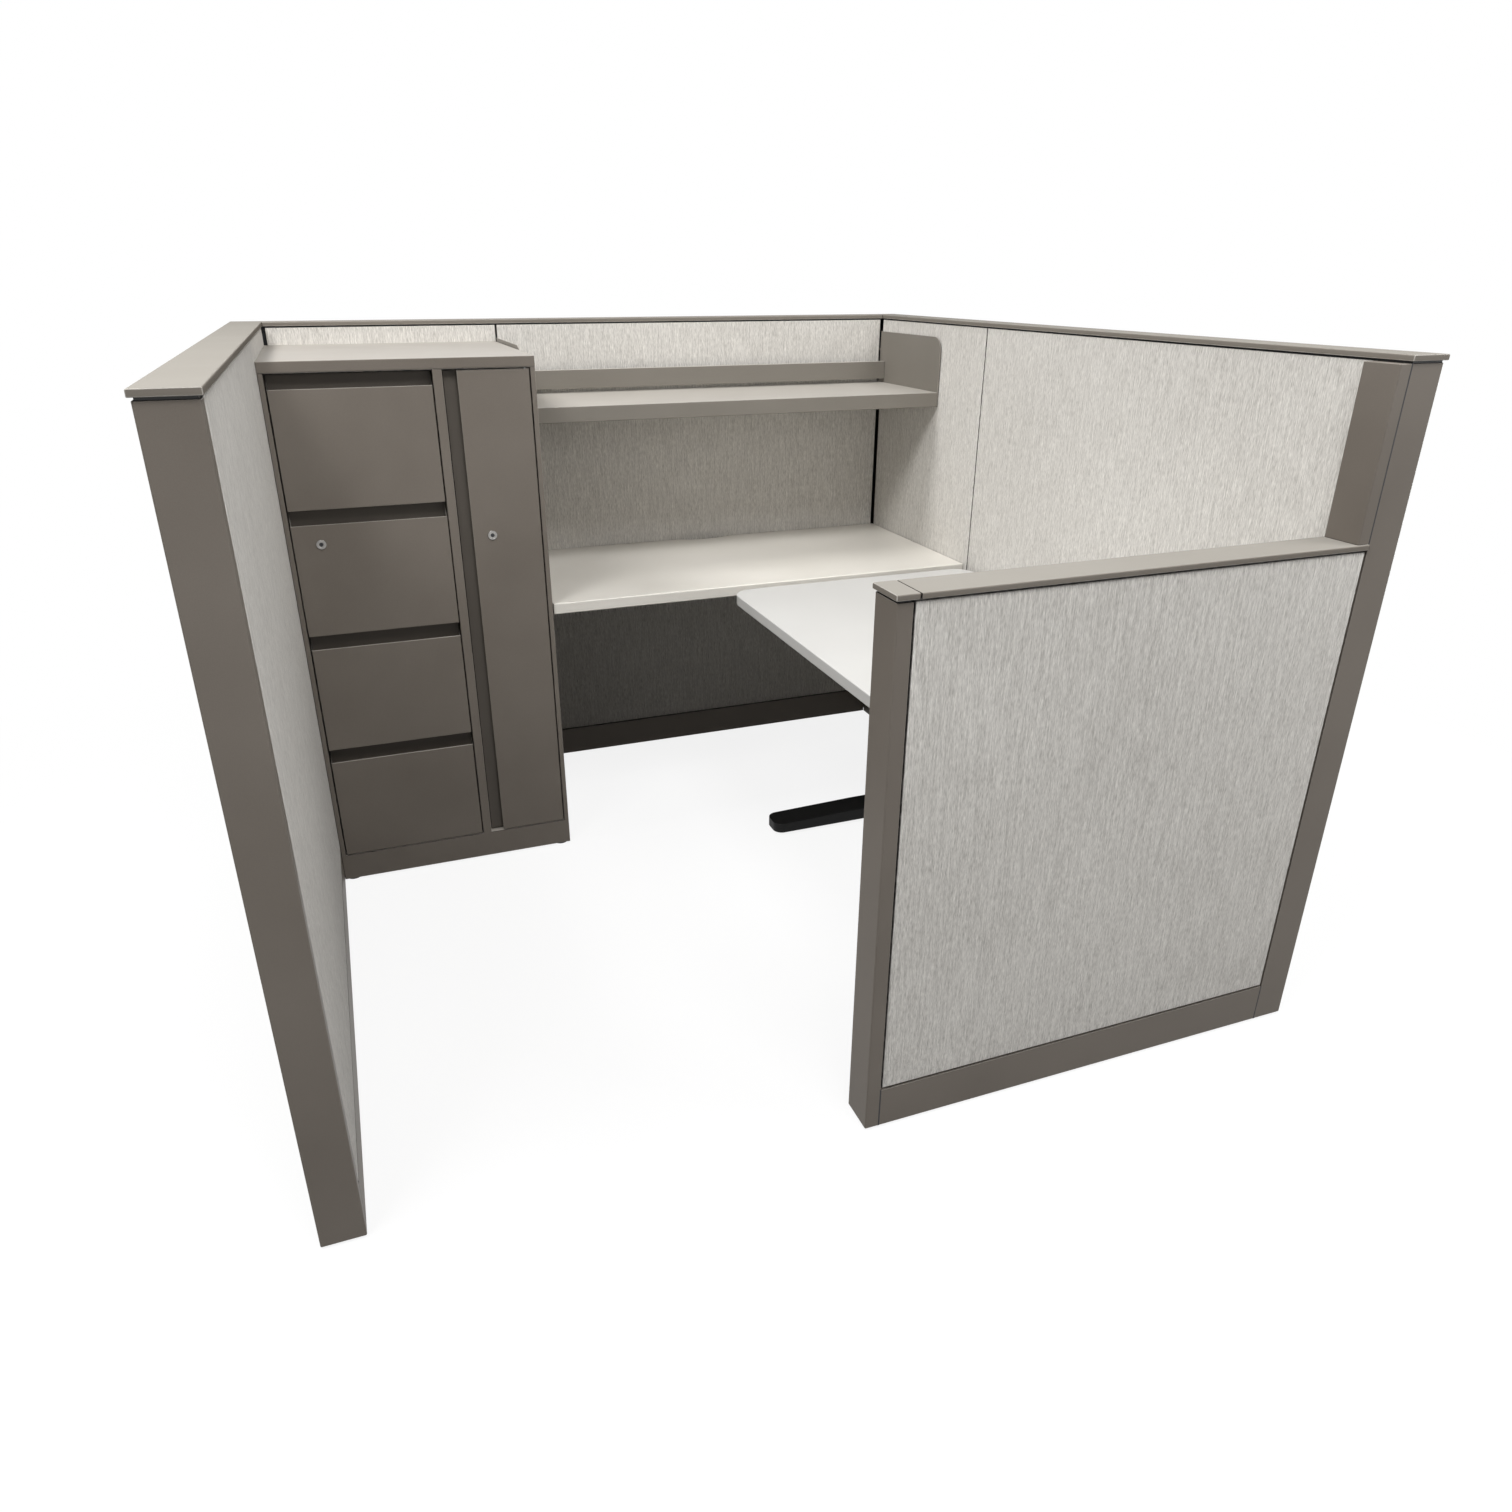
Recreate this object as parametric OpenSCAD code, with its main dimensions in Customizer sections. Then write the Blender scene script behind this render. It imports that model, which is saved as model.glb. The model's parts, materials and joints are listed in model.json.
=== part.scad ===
// Cubicle workstation. Three tall fabric walls and a low front panel stand round a fixed worksurface,
// an open shelf, a storage tower with four file drawers and a wardrobe, and a height-adjustable desk.
// Millimetres, +Z up, +Y towards the back wall. The origin is on the floor, under the middle.

/* [Walls] */
// Height of the tall walls over their caps
wall_h = 1360; // [1340:5:1600]
// Height of the low front panel over its cap
low_h = 1044; // [940:2:1150]
// Thickness of a wall over its fabric tiles
wall_t = 74; // [66:1:90]
// Width of the short panels, beside the tower
short_w = 610; // [600:2:680]
// Width of the long panels
long_w = 1220; // [1200:5:1400]
// Length of the low front panel over its end trim
low_w = 938; // [800:2:1000]
// Height of the base covers' top edge over the floor
base_h = 94; // [80:1:110]

/* [Wall parts] */
// Thickness of a fabric tile
tile_t = 15; // [10:0.5:18]
// Rounding of a tile's upright edges
tile_r = 3; // [1:0.5:4]
// Gap between two tiles at a panel seam
seam_gap = 5; // [4:0.5:8]
// Gap between a tile and the trim or cover beside it
edge_gap = 4; // [2.5:0.5:5]
// Gap between a tile and the wall that it meets in a corner
corner_gap = 9; // [7:0.5:12]
// Width of a frame's uprights along the wall
upright_w = 30; // [24:1:40]
// Height of a frame's top and bottom rails
rail_h = 32; // [24:1:40]
// Steel of the frames and corner posts
frame_wall = 2; // [1.5:0.25:3]
// Height of a top cap's lip
cap_h = 10; // [8:0.5:14]
// Overhang of a top cap past the tiles
cap_over = 3.5; // [2:0.5:6]
// Dark reveal between a cap and the tiles under it
reveal = 4; // [3:0.5:7]
// Thickness of the extruded cap's walls
cap_wall = 2.5; // [2:0.25:3]
// Length of the low cap's separate end piece
cap_end_w = 41; // [36:1:60]
// Gap between the low cap and its end piece
cap_end_gap = 1.2; // [0.5:0.1:2]
// Width of an end trim along the wall
trim_w = 28; // [22:1:34]
// Width of the change-of-height trim beside the tall corner
height_trim_w = 26; // [20:1:32]
// Rounding of the trims' upright edges
trim_r = 3; // [2:0.5:4]
// Gap over the trims, under the caps
trim_reveal = 4; // [3:0.5:6]
// Sheet of the trims and base covers
cover_t = 2; // [1.5:0.25:3]
// Rounding of the corner covers' outer corner
cover_r = 6; // [3:0.5:9]

/* [Slots] */
// Distance between slots up an upright
slot_pitch = 32; // [26:1:40]
// Width of a bracket slot
slot_w = 4.6; // [4.2:0.1:6]
// Height of a bracket slot
slot_h = 16; // [12:0.5:20]
// Depth of a bracket slot
slot_d = 8; // [7:0.5:10]
// Height of the lowest slot over the base covers
slot_from = 40; // [30:1:80]

/* [Worksurface] */
// Height of the worksurface's top
ws_top = 698; // [660:2:740]
// Depth of the worksurface from the back wall
ws_d = 594; // [500:2:640]
// Thickness of the worksurface
ws_t = 29; // [24:0.5:38]
// Rounding of the worksurface's front edge
ws_r = 3; // [1:0.5:6]
// Gap between the worksurface and the walls
ws_gap = 3; // [2:0.5:5]
// Width of the cable scallop in the back edge
scallop_w = 180; // [120:5:260]
// Depth of the cable scallop
scallop_d = 22; // [12:1:40]

/* [Brackets] */
// Sheet of the cantilever brackets
bracket_t = 3; // [2.5:0.25:3.5]
// Reach of a cantilever bracket from the wall
bracket_d = 470; // [380:5:480]
// Height of a cantilever bracket at the wall
bracket_h = 155; // [110:5:200]
// Height of a bracket's hooks
hook_h = 8; // [6:0.5:10]
// Height of a cantilever bracket's nose
bracket_nose = 24; // [16:1:40]
// Width of the flange that the worksurface lies on
bracket_flange = 32; // [22:1:45]

/* [Shelf] */
// Distance of the shelf's top under the walls' top
shelf_drop = 200; // [180:5:280]
// Depth of the shelf from the back wall
shelf_d = 381; // [320:5:430]
// Height of the shelf's front lip
shelf_lip = 40; // [28:1:48]
// Width of the folded edges under the shelf
shelf_fold = 20; // [12:1:26]
// Sheet of the shelf
shelf_sheet = 2; // [1.5:0.25:3]
// Height of the end panels over the shelf's top
shelf_end_h = 152; // [120:2:170]
// Rounding of an end panel's upper front corner
shelf_end_r = 38; // [20:1:60]
// Thickness of an end panel
shelf_end_t = 3; // [2.5:0.25:4]
// Height of the back-stop bar
stop_h = 52; // [36:1:60]
// Gap under the back-stop bar
stop_gap = 12; // [8:1:20]
// Distance of the back-stop's face from the back wall
stop_y = 39; // [30:1:60]
// Thickness of the back-stop bar
stop_t = 14; // [10:1:20]

/* [Storage tower] */
// Distance of the tower's top under the walls' top
tower_drop = 57; // [35:1:70]
// Depth of the tower
tower_d = 604; // [560:2:640]
// Gap between the tower and the walls
tower_gap = 0.5; // [0.3:0.1:1]
// Gap between the tower and the worksurface
tower_side_gap = 4.5; // [4:0.5:8]
// Thickness of the tower's top
tower_top_t = 24; // [18:1:30]
// Height of the plinth
plinth_h = 75; // [60:1:90]
// Sheet steel of the case
sheet = 2; // [1.5:0.25:2.5]
// Width of the case's front edges
edge_w = 12; // [11:0.5:16]
// Depth of the case's front edges
edge_d = 16; // [12:1:20]
// Width of the posts that carry the drawer slides
post_w = 24; // [16:1:30]
// Width of the post between drawers and door
mullion_w = 22; // [18:1:26]
// Width of the door's opening
door_open_w = 202; // [180:2:220]
// Gap round the drawer fronts and the door
front_gap = 2; // [1.5:0.25:2.5]

/* [Drawers] */
// Depth of a pressed drawer front
front_t = 24; // [22:1:28]
// Height of the recessed pull over each front
pull_h = 35; // [28:1:42]
// Depth of the finger scoop behind a front's top edge
scoop_d = 14; // [10:1:18]
// Thickness of a front's folded top edge
lip_t = 4; // [3:0.5:5]
// Gap behind a drawer's body
drawer_back = 58; // [45:1:110]
// Height of a drawer body's sides
drawer_side_h = 225; // [180:5:240]
// Width of the rail for hanging files along a drawer's sides
file_rail_w = 10; // [6:0.5:14]

/* [Drawer slides] */
// Height of a slide's cabinet member
slide_h = 44; // [40:1:50]
// Space that a slide fills beside the drawer
slide_w = 13.5; // [13:0.25:15]
// Steel of a slide's members
slide_t = 1.5; // [1.25:0.25:1.75]
// Running gap between a slide's members
slide_gap = 0.6; // [0.4:0.1:0.7]
// Height of the slides over the drawer's bottom
slide_up = 70; // [50:1:100]

/* [Wardrobe door] */
// Depth of the door
door_t = 20; // [18:1:24]
// Width of the door's full-height pull recess
pull_w = 31; // [26:1:36]
// Depth of the door's pull recess
pull_d = 16; // [12:0.5:16]
// Distance of the hinge axis from the door's hinge edge
pin_x = 10; // [9:0.5:12]
// Distance of the hinge axis from the door's face
pin_y = 5; // [4:0.25:5]
// Radius of a hinge pin
pin_r = 2.5; // [2:0.1:3]
// Radial clearance of a pin in the door
pin_gap = 0.05; // [0.03:0.01:0.1]
// Length of a pin inside the door
pin_l = 9; // [7:0.5:12]

/* [Locks] */
// Radius of a lock's barrel
lock_r = 8.5; // [7:0.25:9]
// Radius of a lock's rim
rim_r = 11; // [10:0.25:12]
// Height of a lock's rim over the front
rim_t = 2.4; // [1.5:0.1:3.5]
// Radial clearance of a lock's barrel
lock_gap = 0.1; // [0.05:0.01:0.3]
// Length of a lock's barrel behind the face
barrel_l = 16; // [14:0.5:17]
// Length of a lock's cam from its axis
cam_l = 18; // [14:0.5:22]
// Depth of the recess in a lock's rim
key_recess = 1; // [0.5:0.1:1.5]
// Width of a lock's keyway
key_w = 1.2; // [0.8:0.1:1.6]
// Distance of the drawer lock from the front's side edge
lock_side = 61; // [50:1:80]
// Distance of a lock under the front's top edge
lock_drop = 45; // [35:1:60]
// Height of the door's lock over the floor
door_lock_z = 890; // [800:5:1000]
// Distance of the door's lock from the pull recess
door_lock_side = 46; // [40:1:60]

/* [Wardrobe inside] */
// Height of the hat shelf under the tower's top
hat_shelf_drop = 300; // [220:5:360]
// Radius of the coat rod
rod_r = 9; // [7:0.5:12]
// Distance of the coat rod under the hat shelf
rod_drop = 48; // [36:1:70]

/* [Desk] */
// Height of the desk's top at rest
desk_top_z = 694; // [680:2:720]
// Width of the desk's top, across the user
desk_w = 728; // [660:2:760]
// Thickness of the desk's top
desk_t = 28; // [22:1:32]
// Rounding of the desk's corners in plan
desk_r = 58; // [30:1:80]
// Rounding of the desk's edges
desk_edge_r = 3; // [1:0.5:5]
// Gap between the desk and the right wall
desk_side_gap = 14; // [8:1:40]
// Gap between the desk and the worksurface
desk_back_gap = 26; // [15:1:60]
// Gap between the desk and the low panel
desk_front_gap = 40; // [20:1:80]
// How far the desk goes down
lift_down = 120; // [60:5:125]

/* [Desk base] */
// How much shorter a foot is than the desk is wide
foot_short = 108; // [80:2:180]
// Width of a foot
foot_w = 80; // [64:1:90]
// Height of a foot round its column
foot_h = 34; // [28:1:40]
// Height of a foot at its tips
foot_tip_h = 27; // [16:1:30]
// Distance of a foot's middle from the desk's end
foot_in = 113; // [90:1:160]
// Distance of the feet's middle from the desk's centre line, towards the wall
foot_off = 28; // [0:1:40]
// Distance of the columns from the feet's middle, towards the wall
column_off = 40; // [0:1:60]
// Room over a column's outer tube with the desk right down
outer_room = 36; // [26:1:60]
// Width of a column's outer tube
outer_w = 80; // [70:1:90]
// Depth of a column's outer tube
outer_d = 50; // [44:1:60]
// Rounding of a column's outer tube
outer_r = 10; // [9.5:0.5:12]
// Wall of a column's tubes
tube_t = 2.2; // [1.8:0.1:2.5]
// Running gap between a column's tubes
tube_gap = 0.8; // [0.5:0.1:1]
// Wall of a foot's hollow casting
foot_wall = 4; // [3:0.25:5]
// Height of the under-frame
frame_h = 22; // [18:1:30]
// Steel of the under-frame's channels
channel_t = 2.5; // [2:0.25:3]
// Width of the under-frame's long rails
rail_w = 34; // [26:1:44]
// Length of the under-frame's cross heads
head_l = 560; // [480:5:600]
// Width of the under-frame's cross heads
head_w = 90; // [84:1:110]
// Length of a lift motor's housing
motor_l = 105; // [80:1:120]
// Radius of a lift motor's housing
motor_r = 24; // [18:0.5:28]
// Height of a lift motor's gearbox
gear_h = 28; // [24:1:30]
// Gap between a gearbox and the tubes that pass it
gear_gap = 1; // [0.5:0.1:2]
// Length of the control box
control_l = 210; // [160:5:240]
// Gap between the control box and the under-frame's rails
control_gap = 2; // [1:0.5:6]
// Height of the control box
control_h = 32; // [24:1:40]

/* [Handset] */
// Length of the handset
hand_l = 110; // [90:2:130]
// Width of the handset
hand_w = 52; // [40:1:64]
// Height of the handset
hand_h = 18; // [15:0.5:22]
// Rounding of the handset's front edges
hand_r = 3; // [2:0.5:5]
// Distance of the handset from the desk's user edge
hand_side = 6; // [3:0.5:12]
// Distance of the handset's middle from the desk's front end
hand_in = 170; // [140:5:220]
// Width of a button
button_w = 16; // [12:0.5:20]
// Height of a button
button_h = 9; // [7:0.5:10]
// Depth of a button's pocket
button_d = 6; // [5:0.5:8]
// Gap round a button in its pocket
button_gap = 0.3; // [0.2:0.05:0.4]
// Travel of a button
button_travel = 1.4; // [1:0.1:2]

/* [Glides] */
// Gap between a levelling glide and the base covers
glide_side = 5; // [3:0.5:8]
// Height of a glide's foot
glide_h = 6; // [5:0.5:9]
// Radius of a glide's stem
glide_stem_r = 5; // [4:0.25:6]
// Distance of a glide's edge from the edge of what it carries
glide_in = 2; // [1:0.5:4]
// Height of the frames over the floor
leg_up = 18; // [14:0.5:24]
// Height of the covers over the floor
cover_up = 5; // [3:0.5:9]

/* [Hidden] */
$fn = 48;
// One overrun serves all cuts
over = 1;
// Frames, covers and cap mitres stand this far apart where they meet
frame_gap = 0.3;

// The room inside the walls
inside_w = short_w + long_w;
inside_d = short_w + long_w;
left_in = -inside_w / 2;
right_in = inside_w / 2;
back_in = inside_d / 2;
front_in = -inside_d / 2;
seam_x = left_in + short_w;
frame_top = wall_h - cap_h;
low_frame_top = low_h - cap_h;
shelf_top = wall_h - shelf_drop;
// A glide's foot stands between the base covers
glide_r = wall_t / 2 - tile_t + cover_t - glide_side;

// The tower's own places
drawer_count = 4;
locked_drawer = 2;
tower_w = short_w - tower_gap - tower_side_gap;
tower_h = wall_h - tower_drop;
tower_x = left_in + tower_gap;
tower_front = back_in - tower_gap - tower_d;
case_top = tower_h - tower_top_t;
front_zone_top = case_top - sheet;
front_zone_h = front_zone_top - plinth_h;
pitch = front_zone_h / drawer_count;
drawer_open_w = tower_w - 2 * edge_w - mullion_w - door_open_w;
drawer_x = tower_x + edge_w;
post_x = drawer_x + drawer_open_w;
front_w = drawer_open_w - 2 * front_gap;
front_h = pitch - 2 * front_gap;
face_h = pitch - pull_h;
door_x = post_x + mullion_w + front_gap;
door_w = door_open_w - 2 * front_gap;
door_z = plinth_h + front_gap;
door_h = front_zone_h - 2 * front_gap;
hinge_x = door_x + door_w - pin_x;
hinge_y = tower_front + pin_y;
slide_y = tower_front + front_t + edge_d;
drawer_d = tower_d - front_t - sheet - drawer_back;
slide_l = drawer_d - edge_d;
body_w = drawer_open_w - 2 * slide_w;
body_up = front_gap + sheet;

// The desk's own places
desk_right = right_in - desk_side_gap;
desk_left = desk_right - desk_w;
desk_back = back_in - ws_d - desk_back_gap;
desk_front = front_in + desk_front_gap;
desk_l = desk_back - desk_front;
under_desk = desk_top_z - desk_t;
under_frame = under_desk - frame_h;
foot_x = (desk_left + desk_right) / 2 + foot_off;
column_x = foot_x + column_off;
column_back = desk_back - foot_in;
column_front = desk_front + foot_in;
columns = [column_back, column_front];
foot_top = glide_h + foot_h;
foot_l = desk_w - foot_short;
// The columns' height with the desk right down
low_room = under_frame - foot_top - lift_down;
outer_l = low_room - outer_room;
hand_x = desk_left + hand_side;
hand_y = desk_front + hand_in;

// The panels of each wall, from and to along the wall
left_panels = [[trim_w, long_w], [long_w, inside_d]];
back_panels = [[0, short_w], [short_w, inside_w]];
right_panels = [[0, short_w], [short_w, inside_d]];
low_panels = [[0, low_w - trim_w]];

// Slots are at the same heights on every frame, so a bracket's hooks fit anywhere
slot_from_z = base_h + slot_from;
function slot_count(top) = floor((top - rail_h - slot_h - slot_from_z) / slot_pitch);
function slot_z(i) = slot_from_z + i * slot_pitch;
// The highest slot of a tall frame whose bottom lies under a height
function slot_under(z) = min(floor((z - slot_from_z) / slot_pitch), slot_count(frame_top) - 1);
// A hook goes this far past the wall's inside face
hook_reach = tile_t + slot_d - over;

// Colours
fabric = [0.80, 0.78, 0.74];
taupe = [0.43, 0.41, 0.38];
cap_colour = [0.72, 0.69, 0.65];
steel_grey = [0.62, 0.62, 0.60];
zinc = [0.70, 0.71, 0.72];
laminate = [0.83, 0.81, 0.78];
white_top = [0.93, 0.93, 0.92];
black = [0.07, 0.07, 0.07];
chrome = [0.80, 0.80, 0.80];

// A box between two corners
module block(low, high) { translate(low) cube(high - low); }

// A w by d rectangle whose two corners on the side x = 0 are rounded
module nosed(w, d, r) {
    translate([r, 0]) square([w - r, d]);
    translate([0, r]) square([r, d - 2 * r]);
    for (y = [r, d - r]) translate([r, y]) circle(r);
}
// A w by d rectangle whose two corners on the side x = w are rounded
module far_nosed(w, d, r) {
    square([w - r, d]);
    translate([0, r]) square([w, d - 2 * r]);
    for (y = [r, d - r]) translate([w - r, y]) circle(r);
}
// A square from the origin whose far corner is rounded
module far_rounded(size, r) {
    square([size - r, size]);
    square([size, size - r]);
    translate([size - r, size - r]) circle(r);
}
// A w by d rectangle about the origin with four rounded corners
module rounded(w, d, r) {
    square([w - 2 * r, d], center = true);
    square([w, d - 2 * r], center = true);
    for (x = [r - w / 2, w / 2 - r]) for (y = [r - d / 2, d / 2 - r]) translate([x, y]) circle(r);
}
// Runs a section drawn across the depth, in y and z, along +x
module along_x(from, to) {
    translate([from, 0, 0]) rotate([90, 0, 90]) linear_extrude(to - from) children();
}

// A wall is drawn in its own frame: x along the wall, y from its inside face outwards, z up.
// Each of these four stands its children where one wall goes.
module at_back_wall() { translate([left_in, back_in, 0]) children(); }
module at_left_wall() { translate([left_in, front_in, 0]) rotate([0, 0, 90]) children(); }
module at_right_wall() { translate([right_in, back_in, 0]) rotate([0, 0, -90]) children(); }
module at_low_wall() { translate([right_in, front_in, 0]) rotate([0, 0, 180]) children(); }
// Moves children from the inside of a wall to its outside
module outside() { translate([0, wall_t, 0]) mirror([0, 1, 0]) children(); }
// Stands children in each wall corner, with the outer faces towards +x and +y
module at_corners() {
    translate([left_in, back_in, 0]) rotate([0, 0, 90]) children();
    translate([right_in, back_in, 0]) children();
    translate([right_in, front_in, 0]) rotate([0, 0, -90]) children();
}

// The two tubular uprights of one frame, open at the top
module frame_uprights(from, to, top) {
    for (x = [from, to - upright_w]) difference() {
        block([x, tile_t, leg_up], [x + upright_w, wall_t - tile_t, top]);
        block([x + frame_wall, tile_t + frame_wall, leg_up + frame_wall],
            [x + upright_w - frame_wall, wall_t - tile_t - frame_wall, top + over]);
    }
}
// The rails welded between them: a channel at the top and a tube over the raceway
module frame_rail_pair(from, to, top) {
    near = tile_t + frame_wall;
    far = wall_t - tile_t - frame_wall;
    for (z = [[top - rail_h, top, top + over], [base_h, base_h + rail_h, base_h + rail_h - frame_wall]])
        difference() {
            block([from + upright_w, tile_t, z[0]], [to - upright_w, wall_t - tile_t, z[1]]);
            block([from, near, z[0] + frame_wall], [to, far, z[2]]);
        }
}
// A column of bracket slots through the inside face, centred on one place along the wall
module slot_column(at, top) {
    for (i = [0 : slot_count(top) - 1])
        block([at - slot_w / 2, tile_t - over, slot_z(i)],
            [at + slot_w / 2, tile_t + slot_d, slot_z(i) + slot_h]);
}
// All uprights of one wall, with slots in its corners and over its seam
module wall_uprights(panels, top) {
    last = len(panels) - 1;
    difference() {
        for (p = panels) frame_uprights(p[0] + frame_gap, p[1] - frame_gap, top);
        slot_column(panels[0][0] + corner_gap / 2, top);
        slot_column(panels[last][1] - corner_gap / 2, top);
        if (last > 0) slot_column(panels[last][0], top);
    }
}
module wall_rails(panels, top) {
    for (p = panels) frame_rail_pair(p[0] + frame_gap, p[1] - frame_gap, top);
}
module left_uprights() { color(zinc) at_left_wall() wall_uprights(left_panels, frame_top); }
module back_uprights() { color(zinc) at_back_wall() wall_uprights(back_panels, frame_top); }
module right_uprights() { color(zinc) at_right_wall() wall_uprights(right_panels, frame_top); }
module low_uprights() { color(zinc) at_low_wall() wall_uprights(low_panels, low_frame_top); }
module frame_rails() {
    color(zinc) {
        at_left_wall() wall_rails(left_panels, frame_top);
        at_back_wall() wall_rails(back_panels, frame_top);
        at_right_wall() wall_rails(right_panels, frame_top);
        at_low_wall() wall_rails(low_panels, low_frame_top);
    }
}

// A fabric tile, whose upright edges are rounded on the side that shows
module tile(from, to, top) {
    translate([to, 0, base_h]) rotate([0, 0, 90])
        linear_extrude(top - base_h) nosed(tile_t, to - from, tile_r);
}
// The tiles of one side of a wall, with their own gaps at its start and its end
module tiles(panels, top, start_gap, end_gap) {
    last = len(panels) - 1;
    for (i = [0 : last])
        tile(panels[i][0] + (i == 0 ? start_gap : seam_gap / 2),
            panels[i][1] - (i == last ? end_gap : seam_gap / 2), top - reveal);
}
module tiles_out(panels, top) { outside() tiles(panels, top, edge_gap, edge_gap); }
module left_tiles_in() { color(fabric) at_left_wall() tiles(left_panels, frame_top, edge_gap, ws_gap); }
module tall_tiles_out() {
    color(fabric) {
        at_left_wall() tiles_out(left_panels, frame_top);
        at_back_wall() tiles_out(back_panels, frame_top);
        at_right_wall() tiles_out(right_panels, frame_top);
    }
}
module back_tiles_in() {
    color(fabric) at_back_wall() tiles(back_panels, frame_top, corner_gap, corner_gap);
}
module right_tiles_in() { color(fabric) at_right_wall() tiles(right_panels, frame_top, ws_gap, ws_gap); }
module low_tile_in() {
    color(fabric) at_low_wall() tiles(low_panels, low_frame_top, corner_gap, edge_gap);
}
module low_tile_out() { color(fabric) at_low_wall() tiles_out(low_panels, low_frame_top); }

// A cap's section across the wall: a hollow channel whose two ribs stand on the frame
module cap_section() {
    inner_w = wall_t + 2 * (cap_over - cap_wall);
    difference() {
        translate([-cap_over, cap_h]) rotate(-90) nosed(cap_h, wall_t + 2 * cap_over, cap_wall);
        translate([cap_wall - cap_over, -over]) square([inner_w, cap_h - cap_wall + over]);
    }
    for (y = [tile_t, wall_t - tile_t - cap_wall]) translate([y, 0]) square([cap_wall, cap_h]);
}
module cap_run(from, to, top) { translate([0, 0, top]) along_x(from, to) cap_section(); }
// The thin plate that closes a cap's free end
module cap_end_plate(at, top) {
    lap = cap_wall / 2;
    block([at, lap - cap_over, top], [at + cap_wall, wall_t + cap_over - lap, top + cap_h - lap]);
}
// Cuts a run of cap at 45 degrees from the inside corner outwards; turn is 1 at its end and -1 at its start
module mitre(at, turn) {
    reach = wall_t + cap_over + over;
    low = -cap_over - over;
    translate([at, 0, -over]) linear_extrude(wall_h + 2 * over)
        polygon([[turn * low, low], [turn * reach, reach], [turn * reach, low]]);
}
module left_cap() {
    color(cap_colour) at_left_wall() {
        difference() {
            cap_run(-cap_over, inside_d + wall_t + cap_over, frame_top);
            mitre(inside_d, 1);
        }
        cap_end_plate(-cap_over, frame_top);
    }
}
module back_cap() {
    color(cap_colour) at_back_wall() difference() {
        cap_run(-wall_t - cap_over, inside_w + wall_t + cap_over, frame_top);
        mitre(frame_gap, -1);
        mitre(inside_w - frame_gap, 1);
    }
}
module right_cap() {
    end = inside_d + wall_t + cap_over;
    color(cap_colour) at_right_wall() {
        difference() {
            cap_run(-wall_t - cap_over, end, frame_top);
            mitre(0, -1);
        }
        cap_end_plate(end - cap_wall, frame_top);
    }
}
low_cap_to = low_w + cap_over;
module low_cap() {
    color(cap_colour) at_low_wall() cap_run(0, low_cap_to - cap_end_w - cap_end_gap, low_frame_top);
}
module low_cap_end() {
    color(cap_colour) at_low_wall() {
        cap_run(low_cap_to - cap_end_w, low_cap_to, low_frame_top);
        cap_end_plate(low_cap_to - cap_wall, low_frame_top);
    }
}

// A base cover: a folded channel that hooks over the feet of the frame
module base_cover(from, to) {
    top = base_h - reveal;
    block([from, 0, cover_up], [to, cover_t, top]);
    block([from, 0, top - cover_t], [to, tile_t, top]);
    block([from, 0, cover_up], [to, tile_t - cover_t, cover_up + cover_t]);
}
module base_covers(from, to) {
    base_cover(from + frame_gap, to - frame_gap);
    outside() base_cover(from + frame_gap, to - frame_gap);
}
module tall_base_covers() {
    color(taupe) {
        at_left_wall() base_covers(trim_w, inside_d);
        at_back_wall() base_covers(0, inside_w);
        at_right_wall() base_covers(0, inside_d);
    }
}
module low_base_covers() { color(taupe) at_low_wall() base_covers(0, low_w - trim_w); }

// A square tube in each corner, and a formed cover with clip ribs round its two outer faces
module corner_post() {
    difference() {
        block([tile_t, tile_t, leg_up], [wall_t - tile_t, wall_t - tile_t, frame_top]);
        block([tile_t + frame_wall, tile_t + frame_wall, leg_up + frame_wall],
            [wall_t - tile_t - frame_wall, wall_t - tile_t - frame_wall, frame_top + over]);
    }
}
module corner_cover() {
    translate([0, 0, cover_up]) linear_extrude(frame_top - trim_reveal - cover_up) union() {
        difference() {
            far_rounded(wall_t, cover_r);
            translate([-over, -over]) far_rounded(wall_t - cover_t + over, cover_r - cover_t);
        }
        for (at = [0, (wall_t - cover_t) / 2]) {
            translate([wall_t - tile_t, at]) square([tile_t, cover_t]);
            translate([at, wall_t - tile_t]) square([cover_t, tile_t]);
        }
    }
}
module corner_posts() { color(zinc) at_corners() corner_post(); }
module corner_covers() { color(taupe) at_corners() corner_cover(); }

// A trim that closes a wall's free end: a channel with two ribs that reach the frame
module end_trim(top) {
    translate([0, 0, cover_up]) linear_extrude(top - trim_reveal - cover_up) union() {
        difference() {
            nosed(trim_w, wall_t, trim_r);
            translate([cover_t, cover_t]) square([trim_w, wall_t - 2 * cover_t]);
        }
        for (y = [tile_t, wall_t - tile_t - cover_t]) translate([0, y]) square([trim_w, cover_t]);
    }
}
module end_trims() {
    color(taupe) {
        at_left_wall() end_trim(frame_top);
        at_low_wall() translate([low_w, 0, 0]) mirror([1, 0, 0]) end_trim(low_frame_top);
    }
}
// The trim that closes the tall corner over the low panel stands on the low cap
module height_trim() {
    top = frame_top - trim_reveal;
    color(taupe) at_low_wall() translate([height_trim_w, 0, low_h]) mirror([1, 0, 0]) difference() {
        linear_extrude(top - low_h) nosed(height_trim_w, wall_t, trim_r);
        block([cover_t, cover_t, -over], [height_trim_w + over, wall_t - cover_t, top - low_h - cover_t]);
    }
}

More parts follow.
